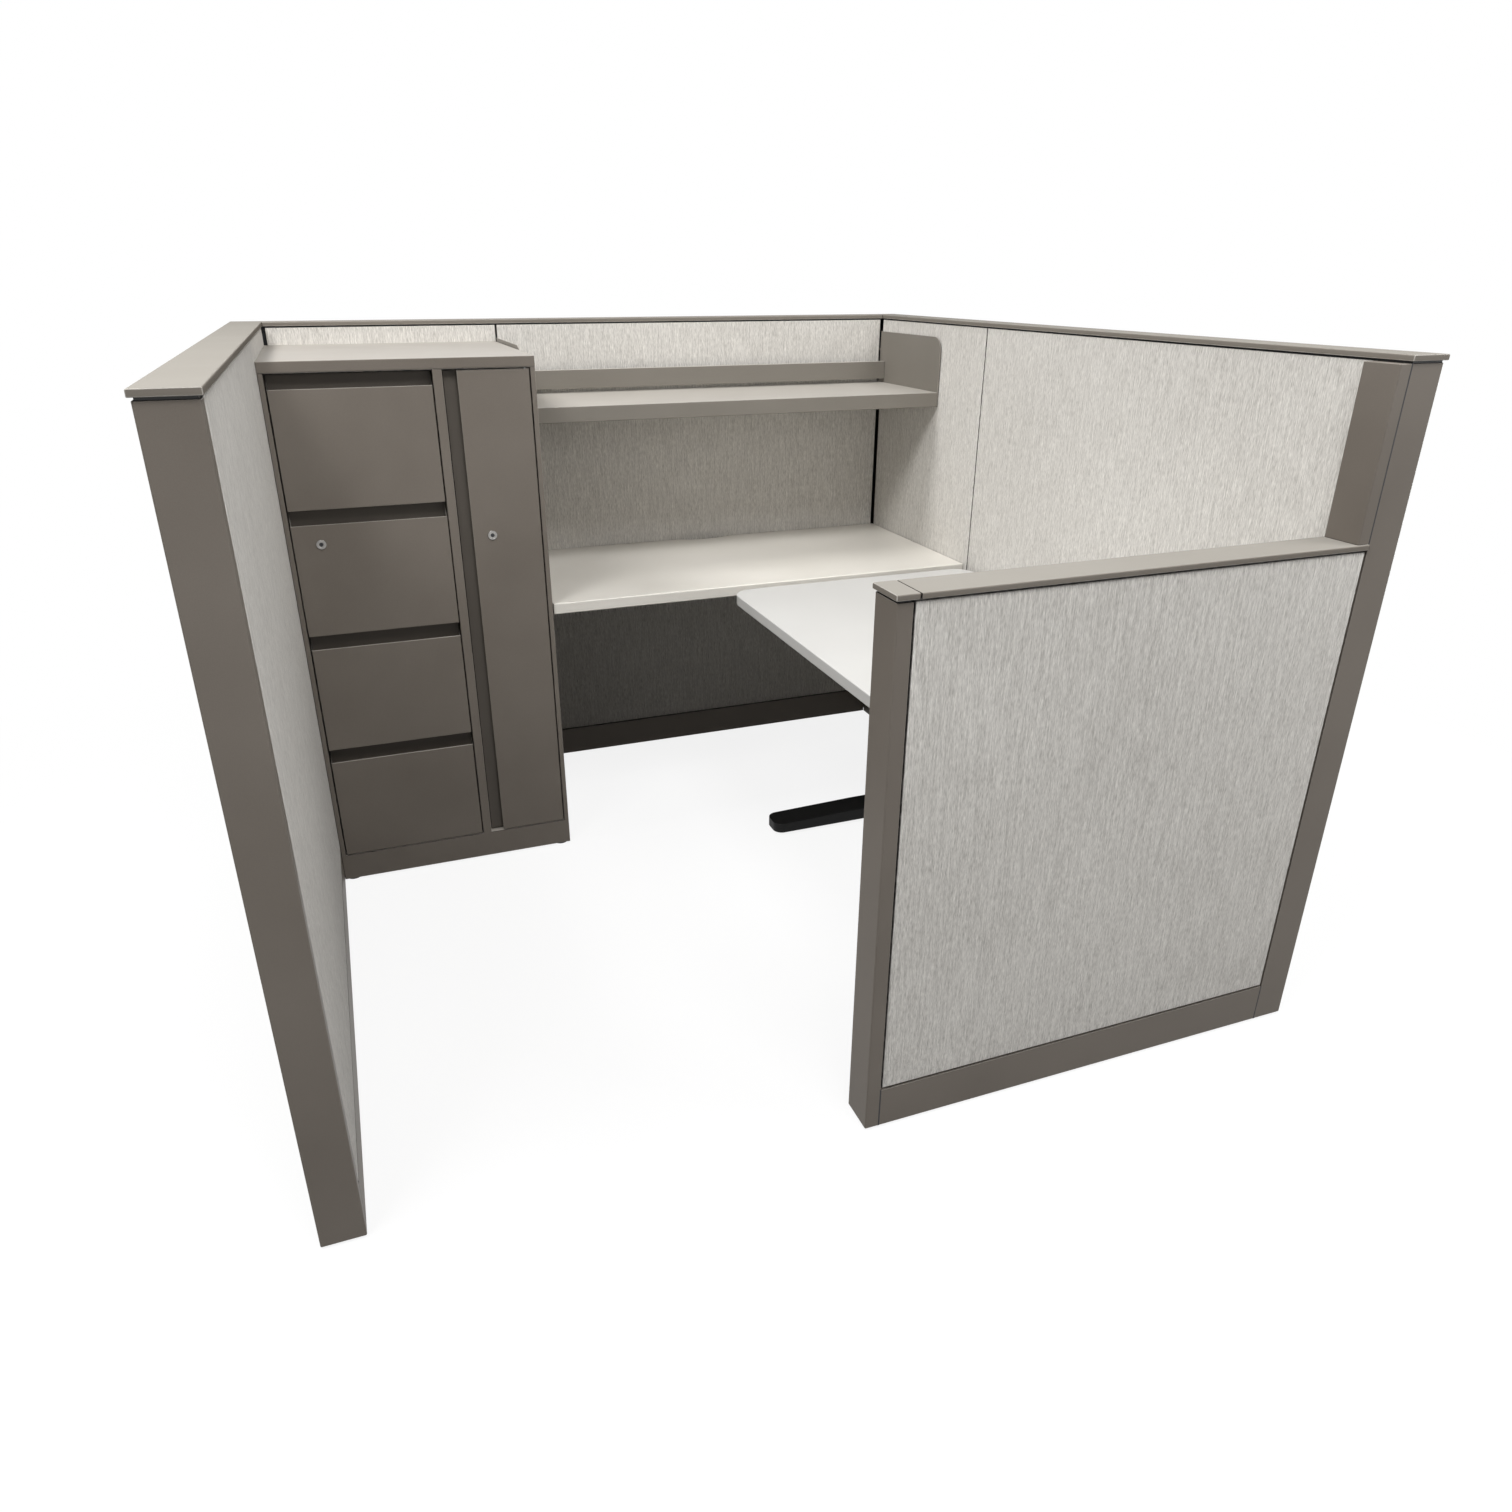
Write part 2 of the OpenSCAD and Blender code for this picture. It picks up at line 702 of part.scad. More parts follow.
// A levelling glide: a wide foot and a stem up to what it carries
module glide(top) {
    cylinder(h = glide_h, r = glide_r);
    cylinder(h = top, r = glide_stem_r);
}
module wall_glides(panels) {
    in = glide_r + glide_in;
    for (p = panels) for (x = [p[0] + in, p[1] - in]) translate([x, wall_t / 2, 0]) glide(leg_up);
}
foot_glide_x = foot_l / 2 - 2 * glide_r;
module glides() {
    in = glide_r + glide_in + sheet;
    color(black) {
        at_left_wall() wall_glides(left_panels);
        at_back_wall() wall_glides(back_panels);
        at_right_wall() wall_glides(right_panels);
        at_low_wall() wall_glides(low_panels);
        at_corners() translate([wall_t / 2, wall_t / 2, 0]) glide(leg_up);
        for (x = [in, tower_w - in]) for (y = [in, tower_d - in])
            translate([tower_x + x, tower_front + y, 0]) glide(plinth_h - sheet);
        for (y = columns) for (x = [-foot_glide_x, foot_glide_x])
            translate([foot_x + x, y, 0]) cylinder(h = glide_h, r = glide_r);
    }
}

// The worksurface: a board with a rounded front edge and a cable scallop in its back edge
module worksurface() {
    from = seam_x;
    to = right_in - ws_gap;
    scallop_r = (scallop_w * scallop_w / 4 + scallop_d * scallop_d) / (2 * scallop_d);
    color(laminate) difference() {
        translate([0, back_in - ws_d, ws_top - ws_t]) along_x(from, to) nosed(ws_d - ws_gap, ws_t, ws_r);
        translate([(from + to) / 2, back_in - ws_gap - scallop_d + scallop_r, ws_top - ws_t - over])
            cylinder(h = ws_t + 2 * over, r = scallop_r, $fn = 96);
    }
}
// A cantilever: a gusset that hooks into the wall's slots, with a flange under the worksurface
module cantilever(side) {
    top = ws_top - ws_t;
    first = slot_under(top - slot_h);
    hooks = floor((slot_z(first) - top + bracket_h) / (2 * slot_pitch));
    color(steel_grey) {
        along_x(-bracket_t / 2, bracket_t / 2) {
            polygon([[-ws_gap, top - bracket_h], [-ws_gap, top],
                [-bracket_d, top], [-bracket_d, top - bracket_nose]]);
            for (i = [0 : hooks]) translate([-ws_gap - over, slot_z(first - 2 * i)])
                square([hook_reach + ws_gap + over, hook_h]);
        }
        block([side > 0 ? 0 : -bracket_flange, -bracket_d, top - bracket_t],
            [side > 0 ? bracket_flange : 0, -ws_gap, top]);
    }
}
module worksurface_brackets() {
    translate([seam_x, back_in, 0]) cantilever(1);
    translate([right_in - corner_gap / 2, back_in, 0]) cantilever(-1);
}

// The shelf: a folded pan and a back stop between two hooked end panels
shelf_from = seam_x + shelf_end_t / 2;
shelf_to = right_in - corner_gap / 2 - shelf_end_t / 2;
module shelf_pan() {
    depth = shelf_d - ws_gap;
    color(steel_grey) translate([0, back_in - shelf_d, shelf_top - shelf_lip]) along_x(shelf_from, shelf_to)
        difference() {
            nosed(depth, shelf_lip, shelf_sheet);
            translate([shelf_sheet, shelf_sheet])
                square([depth - 2 * shelf_sheet, shelf_lip - 2 * shelf_sheet]);
            translate([shelf_fold, -over]) square([depth - 2 * shelf_fold, shelf_sheet + 2 * over]);
        }
}
module shelf_back_stop() {
    color(steel_grey) translate([0, back_in - stop_y, shelf_top + stop_gap]) along_x(shelf_from, shelf_to)
        difference() {
            square([stop_t, stop_h]);
            translate([shelf_sheet, shelf_sheet]) square([stop_t, stop_h - 2 * shelf_sheet]);
        }
}
module shelf_end() {
    low = shelf_top - shelf_lip;
    high = shelf_top + shelf_end_h;
    first = slot_under(high - slot_h - rail_h);
    color(steel_grey) along_x(-shelf_end_t / 2, shelf_end_t / 2) {
        translate([shelf_end_r - shelf_d, low]) square([shelf_d - ws_gap - shelf_end_r, high - low]);
        translate([-shelf_d, low]) square([shelf_end_r, high - low - shelf_end_r]);
        translate([shelf_end_r - shelf_d, high - shelf_end_r]) circle(shelf_end_r);
        for (i = [0, 3]) translate([-ws_gap - over, slot_z(first - i)])
            square([hook_reach + ws_gap + over, hook_h]);
    }
}
module shelf_ends() {
    translate([seam_x, back_in, 0]) shelf_end();
    translate([right_in - corner_gap / 2, back_in, 0]) shelf_end();
}

// The tower's case: folded sheet with square front edges, a divider, posts for the slides and a plinth
module tower_case() {
    wide = tower_w;
    deep = tower_d;
    middle = post_x - tower_x;
    first_post = slide_y - tower_front;
    last_post = first_post + slide_l - post_w;
    color(taupe) translate([tower_x, tower_front, 0]) {
        difference() {
            block([0, 0, cover_up], [wide, deep, case_top]);
            block([sheet, sheet, cover_up - over], [wide - sheet, deep - sheet, plinth_h - sheet]);
            for (x = [[sheet, middle], [middle + sheet, wide - sheet]])
                block([x[0], edge_d, plinth_h], [x[1], deep - sheet, front_zone_top]);
            for (x = [[edge_w, middle], [middle + mullion_w, wide - edge_w]])
                block([x[0], -over, plinth_h], [x[1], edge_d + over, front_zone_top]);
        }
        for (y = [first_post, last_post])
            block([sheet / 2, y, plinth_h - sheet / 2], [edge_w, y + post_w, case_top - sheet / 2]);
    }
}
// The top is a folded pan that lies on the case
module tower_top() {
    color(taupe) translate([0, tower_front, case_top]) difference() {
        along_x(tower_x, tower_x + tower_w) nosed(tower_d, tower_top_t, sheet);
        block([tower_x + sheet, sheet, -over],
            [tower_x + tower_w - sheet, tower_d - sheet, tower_top_t - sheet]);
    }
}
// The wardrobe holds a hat shelf with a folded front edge, and a coat rod in two cups
module hat_shelf_and_rod() {
    from = post_x + sheet;
    to = tower_x + tower_w - sheet;
    z = case_top - hat_shelf_drop;
    near = tower_front + door_t + edge_d;
    far = tower_front + tower_d - sheet;
    color(zinc) {
        block([from, near, z], [to, far, z + sheet]);
        block([from, near, z - edge_w], [to, near + sheet, z + sheet]);
        translate([0, (near + far) / 2, z - rod_drop]) {
            along_x(from, to) circle(rod_r);
            for (x = [from, to - sheet]) along_x(x, x + sheet) circle(2 * rod_r);
        }
    }
}

// A slide has three channels, one inside the other: on the case, in the middle and on the drawer.
// They are drawn across the drawer, x from what carries the slide towards the drawer.
case_half = slide_h / 2;
middle_half = case_half - slide_t - slide_gap;
drawer_half = middle_half - slide_t - slide_gap;
function drawer_z(number) = plinth_h + (drawer_count - number) * pitch;
function slide_z(number) = drawer_z(number) + body_up + slide_up;
module channel(web, tip, half, lap = 0) {
    translate([web, -half]) square([slide_t + lap, 2 * half]);
    for (z = [-half, half - slide_t]) translate([min(web, tip), z]) square([abs(tip - web), slide_t]);
}
module slide_pair(number) {
    translate([drawer_x, slide_y + slide_l, slide_z(number)]) rotate([90, 0, 0]) linear_extrude(slide_l) {
        children();
        translate([drawer_open_w, 0]) mirror([1, 0]) children();
    }
}
module drawer_runners() {
    color(zinc) for (number = [1 : drawer_count])
        slide_pair(number) channel(0, slide_w - 2 * slide_t, case_half);
}
module slide_middle(number) {
    web = slide_t + slide_gap;
    color(steel_grey) slide_pair(number) channel(web, slide_w - web, middle_half);
}

// A pressed drawer front, seen across: y back from its face, z up. Fingers go in the recess over the
// face and down behind its folded top edge.
module front_section() {
    scoop_r = (front_t - sheet - lip_t) / 2;
    hollow_h = face_h - scoop_d - sheet;
    difference() {
        square([front_t, front_h]);
        translate([-over, face_h]) square([front_t - sheet + over, front_h]);
        translate([lip_t, face_h - scoop_d + scoop_r]) square([2 * scoop_r, scoop_d]);
        translate([lip_t + scoop_r, face_h - scoop_d + scoop_r]) circle(scoop_r);
        translate([sheet, sheet]) square([front_t - 2 * sheet, hollow_h - sheet]);
        translate([sheet, edge_w]) square([front_t, hollow_h - edge_w]);
    }
}
module drawer_front(number) {
    low = drawer_z(number) + front_gap;
    from = drawer_x + front_gap;
    locked = number == locked_drawer;
    color(taupe) difference() {
        translate([0, tower_front, low]) {
            along_x(from, from + front_w) front_section();
            for (x = [from, from + front_w - sheet]) {
                block([x, 0, 0], [x + sheet, front_t, face_h]);
                block([x, front_t - edge_w, 0], [x + sheet, front_t, front_h]);
            }
        }
        if (locked) translate([from + lock_side, tower_front - over, low + face_h - lock_drop])
            rotate([-90, 0, 0]) cylinder(h = sheet + 2 * over, r = lock_r + lock_gap);
    }
}
// A drawer's body: an open tray with rails for hanging files, and its own members of the slides
module drawer_body(number) {
    x = drawer_x + slide_w;
    y = tower_front + front_t;
    z = drawer_z(number) + body_up;
    top = z + drawer_side_h;
    color(steel_grey) {
        difference() {
            block([x, y, z], [x + body_w, y + drawer_d, top]);
            block([x + sheet, y + sheet, z + sheet],
                [x + body_w - sheet, y + drawer_d - sheet, top + over]);
        }
        for (rail_x = [x, x + body_w - file_rail_w])
            block([rail_x, y, top - sheet], [rail_x + file_rail_w, y + drawer_d, top]);
        slide_pair(number) channel(slide_w - slide_t, 2 * (slide_t + slide_gap), drawer_half, sheet / 2);
    }
}

// The wardrobe door's skin, whose left edge hangs free over the finger channel
module wardrobe_door() {
    color(taupe) translate([door_x, tower_front, door_z]) difference() {
        block([pull_w, 0, 0], [door_w, sheet, door_h]);
        translate([pull_w + door_lock_side, -over, door_lock_z - door_z])
            rotate([-90, 0, 0]) cylinder(h = sheet + 2 * over, r = lock_r + lock_gap);
    }
}
// Behind the skin lies a folded frame, with pads for the pins and a stiffener
module door_frame() {
    from = pull_w + scoop_d;
    pad = 2 * pin_x;
    stiffener_x = (pull_w + door_w) / 2 + edge_w;
    color(taupe) translate([door_x, tower_front, door_z]) difference() {
        block([from, sheet, 0], [door_w, door_t, door_h]);
        difference() {
            block([from + sheet, sheet - over, sheet], [door_w - sheet, door_t + over, door_h - sheet]);
            for (z = [0, door_h - pin_l - sheet])
                block([door_w - pad, 0, z], [door_w, door_t + 2 * over, z + pin_l + sheet]);
            block([stiffener_x, 0, 0], [stiffener_x + edge_w, edge_w, door_h]);
        }
        for (z = [-over, door_h - pin_l]) translate([door_w - pin_x, pin_y, z])
            cylinder(h = pin_l + over, r = pin_r + pin_gap);
    }
}
// The finger channel's back, a flat strip beside the frame all the way up
module door_channel() {
    color(taupe) translate([door_x, tower_front, door_z])
        block([0, pull_d, 0], [pull_w + scoop_d, door_t, door_h]);
}
module door_pins() {
    pin_h = front_gap + pin_l - pin_gap;
    color(zinc) for (z = [plinth_h, front_zone_top - pin_h])
        translate([hinge_x, hinge_y, z]) cylinder(h = pin_h, r = pin_r);
}

// A lock, facing +z: a rim with a keyway, a barrel through the sheet, and a cam behind it
module lock() {
    difference() {
        union() {
            translate([0, 0, -barrel_l]) cylinder(h = barrel_l, r = lock_r);
            cylinder(h = rim_t, r = rim_r);
            block([-lock_r / 2, -cam_l, -barrel_l], [lock_r / 2, 0, sheet - barrel_l]);
        }
        translate([0, 0, rim_t - key_recess]) cylinder(h = key_recess + over, r = lock_r - key_recess);
        block([-key_w / 2, -lock_r / 2, -sheet], [key_w / 2, lock_r / 2, rim_t]);
    }
}
module drawer_lock() {
    color(chrome) translate([drawer_x + front_gap + lock_side, tower_front,
        drawer_z(locked_drawer) + front_gap + face_h - lock_drop]) rotate([90, 0, 0]) lock();
}
module door_lock() {
    color(chrome) translate([door_x + pull_w + door_lock_side, tower_front, door_lock_z])
        rotate([90, 0, 0]) lock();
}

// A board with round corners and rounded edges: its edge's section turns each corner and runs between them
module rounded_board(w, l, t, corner, r) {
    block([corner, corner, 0], [w - corner, l - corner, t]);
    for (side = [[w - corner, l - corner, 0, l], [corner, l - corner, 90, w], [corner, corner, 180, l],
            [w - corner, corner, 270, w]])
        translate([side[0], side[1], 0]) rotate([0, 0, side[2]]) {
            rotate_extrude(angle = 90, $fn = 64) far_nosed(corner, t, r);
            rotate([90, 0, 0]) linear_extrude(side[3] - 2 * corner) far_nosed(corner, t, r);
        }
}
module desk_top() {
    color(white_top) translate([desk_left, desk_front, under_desk])
        rounded_board(desk_w, desk_l, desk_t, desk_r, desk_edge_r);
}
// The under-frame: two long rails and a cross head over each column, all channels open downwards;
// the heads lie over the feet
module desk_frame() {
    half = outer_w / 2 + rail_w;
    rails = [for (x = [-half, half - rail_w])
        [[x, column_front - head_w / 2], [x + rail_w, column_back + head_w / 2]]];
    head_from = -head_l / 2 - column_off;
    head_to = head_l / 2 - column_off;
    heads = [for (y = columns) [[head_from, y - head_w / 2], [head_to, y + head_w / 2]]];
    t = channel_t;
    color(black) translate([column_x, 0, under_frame]) difference() {
        for (b = concat(rails, heads)) block([b[0][0], b[0][1], 0], [b[1][0], b[1][1], frame_h]);
        for (b = rails) block([b[0][0] + t, b[0][1] + t, -over], [b[1][0] - t, b[1][1] - t, frame_h - t]);
        for (y = columns) for (x = [[head_from + t, -half], [half, head_to - t]])
            block([x[0], y + t - head_w / 2, -over], [x[1], y + head_w / 2 - t, frame_h - t]);
    }
}
// The columns: each stage of tube is set in from the one round it
stage = tube_t + tube_gap;
inner_l = low_room - tube_gap;
middle_l = inner_l - tube_gap;
module tube(inset, length) {
    linear_extrude(length) difference() {
        rounded(outer_w - 2 * inset, outer_d - 2 * inset, outer_r - inset);
        rounded(outer_w - 2 * (inset + tube_t), outer_d - 2 * (inset + tube_t), outer_r - inset - tube_t);
    }
}
// A foot is round at its tips, lower there than in its middle, and hollow round its glides' bosses
module foot_block(inset) {
    linear_extrude(foot_h) rounded(foot_l - 2 * inset, foot_w - 2 * inset, foot_w / 3 - inset);
}
module foot_slope(drop) {
    half = foot_l / 2;
    tip = foot_tip_h - drop;
    top = foot_h - drop;
    rotate([90, 0, 0]) linear_extrude(foot_w, center = true)
        polygon([[-half, -over], [-half, tip], [column_off - outer_w, top],
            [column_off + outer_w, top], [half, tip], [half, -over]]);
}
module foot() {
    difference() {
        intersection() { foot_block(0); foot_slope(0); }
        intersection() { translate([0, 0, -over]) foot_block(foot_wall); foot_slope(foot_wall); }
    }
    intersection() {
        for (x = [-foot_glide_x, foot_glide_x]) translate([x, 0, 0]) cylinder(h = foot_h, r = glide_r / 2);
        foot_slope(foot_wall / 2);
    }
}
module desk_legs() {
    color(black) for (y = columns) {
        translate([foot_x, y, glide_h]) foot();
        translate([column_x, y, foot_top]) tube(0, outer_l);
    }
}
// At rest the middle tubes are half as far up as the inner ones, as the lift drives them
module leg_middle_tubes() {
    color(black) for (y = columns)
        translate([column_x, y, foot_top + tube_gap + lift_down / 2]) tube(stage, middle_l);
}
module leg_inner_tubes() {
    color(black) for (y = columns) translate([column_x, y, under_frame - inner_l]) tube(2 * stage, inner_l);
}
// A gear motor hangs under each cross head, on the side of its column that faces the other
module lift_motor() {
    near = outer_d / 2 + gear_gap;
    block([-motor_r, near, -gear_h], [motor_r, near + 2 * motor_r, 0]);
    translate([0, near + motor_r, -motor_l]) cylinder(h = motor_l, r = motor_r - gear_gap);
}
module lift_motors() {
    color(black) {
        translate([column_x, column_front, under_frame]) lift_motor();
        translate([column_x, column_back, under_frame]) mirror([0, 1, 0]) lift_motor();
    }
}
module control_box() {
    half_w = outer_w / 2 - control_gap;
    middle = (column_back + column_front) / 2;
    color(black) block([column_x - half_w, middle - control_l / 2, under_desk - control_h],
        [column_x + half_w, middle + control_l / 2, under_desk]);
}
// The handset under the desk's user edge, with two buttons in pockets in its face
function button_y(i) = hand_y - hand_l / 2 + i * hand_l / 3;
button_z = under_desk - (hand_h + button_h) / 2;
module handset() {
    color(black) difference() {
        translate([hand_x, hand_y - hand_l / 2, under_desk - hand_h])
            linear_extrude(hand_h) nosed(hand_w, hand_l, hand_r);
        for (i = [1, 2]) translate([hand_x, button_y(i) - button_w / 2, button_z])
            block([-over, -button_gap, -button_gap],
                [button_d, button_w + button_gap, button_h + button_gap]);
    }
}
module button(i) {
    face = hand_x - button_travel - button_gap;
    color(steel_grey) block([face, button_y(i) - button_w / 2, button_z],
        [face + button_d, button_y(i) + button_w / 2, button_z + button_h]);
}

left_uprights();
back_uprights();
right_uprights();
low_uprights();
frame_rails();
left_tiles_in();
back_tiles_in();
right_tiles_in();
tall_tiles_out();
low_tile_in();
low_tile_out();
left_cap();
back_cap();
right_cap();
low_cap();
low_cap_end();
tall_base_covers();
low_base_covers();
corner_posts();
corner_covers();
end_trims();
height_trim();
glides();
worksurface();
worksurface_brackets();
shelf_pan();
shelf_back_stop();
shelf_ends();
tower_case();
tower_top();
hat_shelf_and_rod();
drawer_runners();
drawer_front(1);  // drawer_front_1
drawer_front(2);  // drawer_front_2
drawer_front(3);  // drawer_front_3
drawer_front(4);  // drawer_front_4
drawer_body(1);  // drawer_body_1
drawer_body(2);  // drawer_body_2
drawer_body(3);  // drawer_body_3
drawer_body(4);  // drawer_body_4
slide_middle(1);  // slide_middle_1
slide_middle(2);  // slide_middle_2
slide_middle(3);  // slide_middle_3
slide_middle(4);  // slide_middle_4
wardrobe_door();
door_frame();
door_channel();
door_pins();
drawer_lock();
door_lock();
desk_top();
desk_frame();
desk_legs();
leg_middle_tubes();
leg_inner_tubes();
lift_motors();
control_box();
handset();
button(2);  // up_button
button(1);  // down_button
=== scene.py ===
"""Looks of a cubicle workstation.

Three tall cloth walls and a low front panel stand round a fixed worksurface, an open shelf, a storage
tower and a lift desk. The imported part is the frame, and every piece here lies where its nodes lie.
"""

import json
import logging
import math
from dataclasses import dataclass
from enum import Enum

import bmesh
import bpy
from mathutils import Matrix, Vector
from mathutils.bvhtree import BVHTree


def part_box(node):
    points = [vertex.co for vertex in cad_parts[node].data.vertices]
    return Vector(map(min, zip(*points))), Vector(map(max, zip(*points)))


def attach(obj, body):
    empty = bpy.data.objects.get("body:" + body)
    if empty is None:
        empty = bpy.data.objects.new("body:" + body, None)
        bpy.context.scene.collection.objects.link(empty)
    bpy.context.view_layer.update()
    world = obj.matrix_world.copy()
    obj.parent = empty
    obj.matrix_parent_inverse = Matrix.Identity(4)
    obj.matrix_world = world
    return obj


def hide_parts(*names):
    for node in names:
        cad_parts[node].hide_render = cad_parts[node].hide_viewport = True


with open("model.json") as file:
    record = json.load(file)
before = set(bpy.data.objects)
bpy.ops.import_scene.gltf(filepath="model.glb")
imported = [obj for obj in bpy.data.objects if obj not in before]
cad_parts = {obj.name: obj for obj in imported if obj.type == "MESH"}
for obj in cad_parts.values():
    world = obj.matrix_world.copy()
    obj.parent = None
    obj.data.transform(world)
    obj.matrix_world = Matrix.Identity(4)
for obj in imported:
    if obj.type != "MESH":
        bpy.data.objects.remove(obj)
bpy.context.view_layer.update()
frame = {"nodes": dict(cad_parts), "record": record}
LOG = logging.getLogger("cubicle")

BMesh = bmesh.types.BMesh
NodeTree = bpy.types.NodeTree
Socket = bpy.types.NodeSocket
Box = tuple[Vector, Vector]
Place = tuple[float, float, float]
Colour = tuple[float, float, float, float]
Value = float | Colour | Vector | Socket

MM = 0.001
WELD = 0.00002
FLAT_ANGLE = math.radians(0.6)
SHARP_ANGLE = math.radians(40)
EASED = "eased"
SEAM = "seam"
UP = Vector((0, 0, 1))
FRONT = Vector((0, -1, 0))


class Slot(Enum):
    """The record's material slots, which each finish and each new piece name."""

    WALL_FABRIC = "wall_fabric"
    FRAME_ZINC = "frame_zinc"
    CAP_PAINT = "cap_paint"
    TRIM_PAINT = "trim_paint"
    GLIDE_PLASTIC = "glide_plastic"
    WORKSURFACE_LAMINATE = "worksurface_laminate"
    SHELF_PAINT = "shelf_paint"
    BRACKET_PAINT = "bracket_paint"
    TOWER_PAINT = "tower_paint"
    DRAWER_PAINT = "drawer_paint"
    SLIDE_ZINC = "slide_zinc"
    LOCK_CHROME = "lock_chrome"
    DESK_LAMINATE = "desk_laminate"
    DESK_BLACK = "desk_black"
    HOUSING_PLASTIC = "housing_plastic"
    BUTTON_PLASTIC = "button_plastic"


def srgb(red: int, green: int, blue: int) -> Colour:
    """Turns a colour as a screen shows it, 0 to 255, into the linear one that shaders take.

    Args:
        red: Red, 0 to 255.
        green: Green, 0 to 255.
        blue: Blue, 0 to 255.

    Returns:
        The linear colour, with an alpha of 1.
    """
    def linear(level: int) -> float:
        """Undoes the screen's curve for one channel."""
        share = level / 255
        return share / 12.92 if share <= 0.04045 else ((share + 0.055) / 1.055) ** 2.4

    return (linear(red), linear(green), linear(blue), 1.0)


WHITE = srgb(255, 255, 255)
# Painted shade: the dark laid on edges and tile sides that face another part across a narrow seam.
PAINTED_SEAM_SHADE = srgb(24, 22, 20)
# Painted shade: the near-black laid behind the tower case's front.
PAINTED_DEEP_SHADE = srgb(9, 8, 7)


class Tree:
    """A node tree under construction, with short calls for the nodes that finishes are made of."""

    def __init__(self, tree: NodeTree) -> None:
        """Takes the tree to build in."""
        self.tree = tree

    def node(self, kind: str, **settings: object) -> bpy.types.Node:
        """Adds a node.

        Args:
            kind: The node's type name.
            **settings: Properties of the node, by name.

        Returns:
            The new node.
        """
        made = self.tree.nodes.new(kind)
        for name, value in settings.items():
            setattr(made, name, value)
        return made

    def feed(self, socket: Socket, value: Value) -> None:
        """Links a socket to another one, or sets its value.

        Args:
            socket: The input.
            value: An output to link, or a plain value.
        """
        if isinstance(value, Socket):
            self.tree.links.new(value, socket)
        else:
            socket.default_value = value

    def fill(self, node: bpy.types.Node, **inputs: Value) -> bpy.types.NodeOutputs:
        """Feeds a node by the names of its inputs.

        Args:
            node: The node.
            **inputs: What its inputs get, by name, with _ for a space.

        Returns:
            The node's outputs.
        """
        for key, value in inputs.items():
            self.feed(node.inputs[key.replace("_", " ")], value)
        return node.outputs

    def math(self, operation: str, *values: Value) -> Socket:
        """Works through values in order with Math nodes.

        Args:
            operation: The nodes' operation.
            *values: Two values or more.

        Returns:
            The result.
        """
        result = values[0]
        for value in values[1:]:
            made = self.node("ShaderNodeMath", operation=operation)
            self.feed(made.inputs[0], result)
            self.feed(made.inputs[1], value)
            result = made.outputs[0]
        return result

    def blend(self, first: Value, second: Value, share: float) -> Socket:
        """Adds two values by their shares.

        Args:
            first: The first value.
            second: The second value.
            share: The first value's share; the second one has the rest.

        Returns:
            The sum.
        """
        rest = self.math("MULTIPLY", second, 1 - share)
        return self.math("ADD", self.math("MULTIPLY", first, share), rest)

    def vector(self, operation: str, *values: Value) -> Socket:
        """Adds a Vector Math node.

        Args:
            operation: The node's operation.
            *values: Its vectors.

        Returns:
            The vector, or the number where the operation gives one.
        """
        made = self.node("ShaderNodeVectorMath", operation=operation)
        for socket, value in zip(made.inputs, values):
            self.feed(socket, value)
        return made.outputs["Value" if operation == "LENGTH" else "Vector"]

    def part(self, vector: Socket, axis: str) -> Socket:
        """Gives one part of a vector.

        Args:
            vector: The vector.
            axis: X, Y or Z.

        Returns:
            That part.
        """
        return self.fill(self.node("ShaderNodeSeparateXYZ"), Vector=vector)[axis]

    def stretched(self, vector: Socket, across: Value, along: Value) -> Socket:
        """Divides a place by one length across and another one upwards.

        Args:
            vector: The place, in metres.
            across: The length that counts as 1 along x and y.
            along: The length that counts as 1 along z.

        Returns:
            The scaled place.
        """
        sizes = self.fill(self.node("ShaderNodeCombineXYZ"), X=across, Y=across, Z=along)
        return self.vector("DIVIDE", vector, sizes["Vector"])

    def noise(self, vector: Socket, scale: float = 1.0, detail: float = 2.0,
              roughness: float = 0.5) -> Socket:
        """Adds a Noise Texture and gives its value, which lies round 0.5.

        Args:
            vector: The place.
            scale: How many features lie in one unit.
            detail: Octaves over the first.
            roughness: Strength of each octave against the one before.

        Returns:
            The noise, 0 to 1.
        """
        made = self.node("ShaderNodeTexNoise")
        return self.fill(made, Vector=vector, Scale=scale, Detail=detail, Roughness=roughness)["Fac"]

    def spread(self, value: Value, low: float, high: float, to_low: Value = 0.0,
               to_high: Value = 1.0) -> Socket:
        """Maps low to high onto another range, and holds what lies outside.

        Args:
            value: The value to map.
            low: The value that becomes to_low.
            high: The value that becomes to_high.
            to_low: The new range's start.
            to_high: The new range's end.

        Returns:
            The mapped value.
        """
        made = self.node("ShaderNodeMapRange", clamp=True)
        ranges = {"From_Min": low, "From_Max": high, "To_Min": to_low, "To_Max": to_high}
        return self.fill(made, Value=value, **ranges)["Result"]

    def mix(self, share: Value, first: Value, second: Value) -> Socket:
        """Mixes two colours.

        Args:
            share: The second colour's share.
            first: The first colour.
            second: The second colour.

        Returns:
            The mixed colour.
        """
        made = self.node("ShaderNodeMix", data_type="RGBA")
        for index, value in ((0, share), (6, first), (7, second)):
            self.feed(made.inputs[index], value)
        return made.outputs[2]

    def show(self, kind: str, shader: Socket) -> None:
        """Adds the tree's end node.

        Args:
            kind: The end node's type name.
            shader: The shader that it shows.
        """
        self.fill(self.node(kind), Surface=shader)

    def seen(self) -> tuple[Socket, Socket]:
        """Tells the camera's sight from light.

        Returns:
            A mask of what it sees straight, and one of what it sees straight, in gloss or through glass.
        """
        path = self.node("ShaderNodeLightPath").outputs
        straight = path["Is Camera Ray"]
        return straight, self.math("MAXIMUM", straight, path["Is Glossy Ray"], path["Is Transmission Ray"])


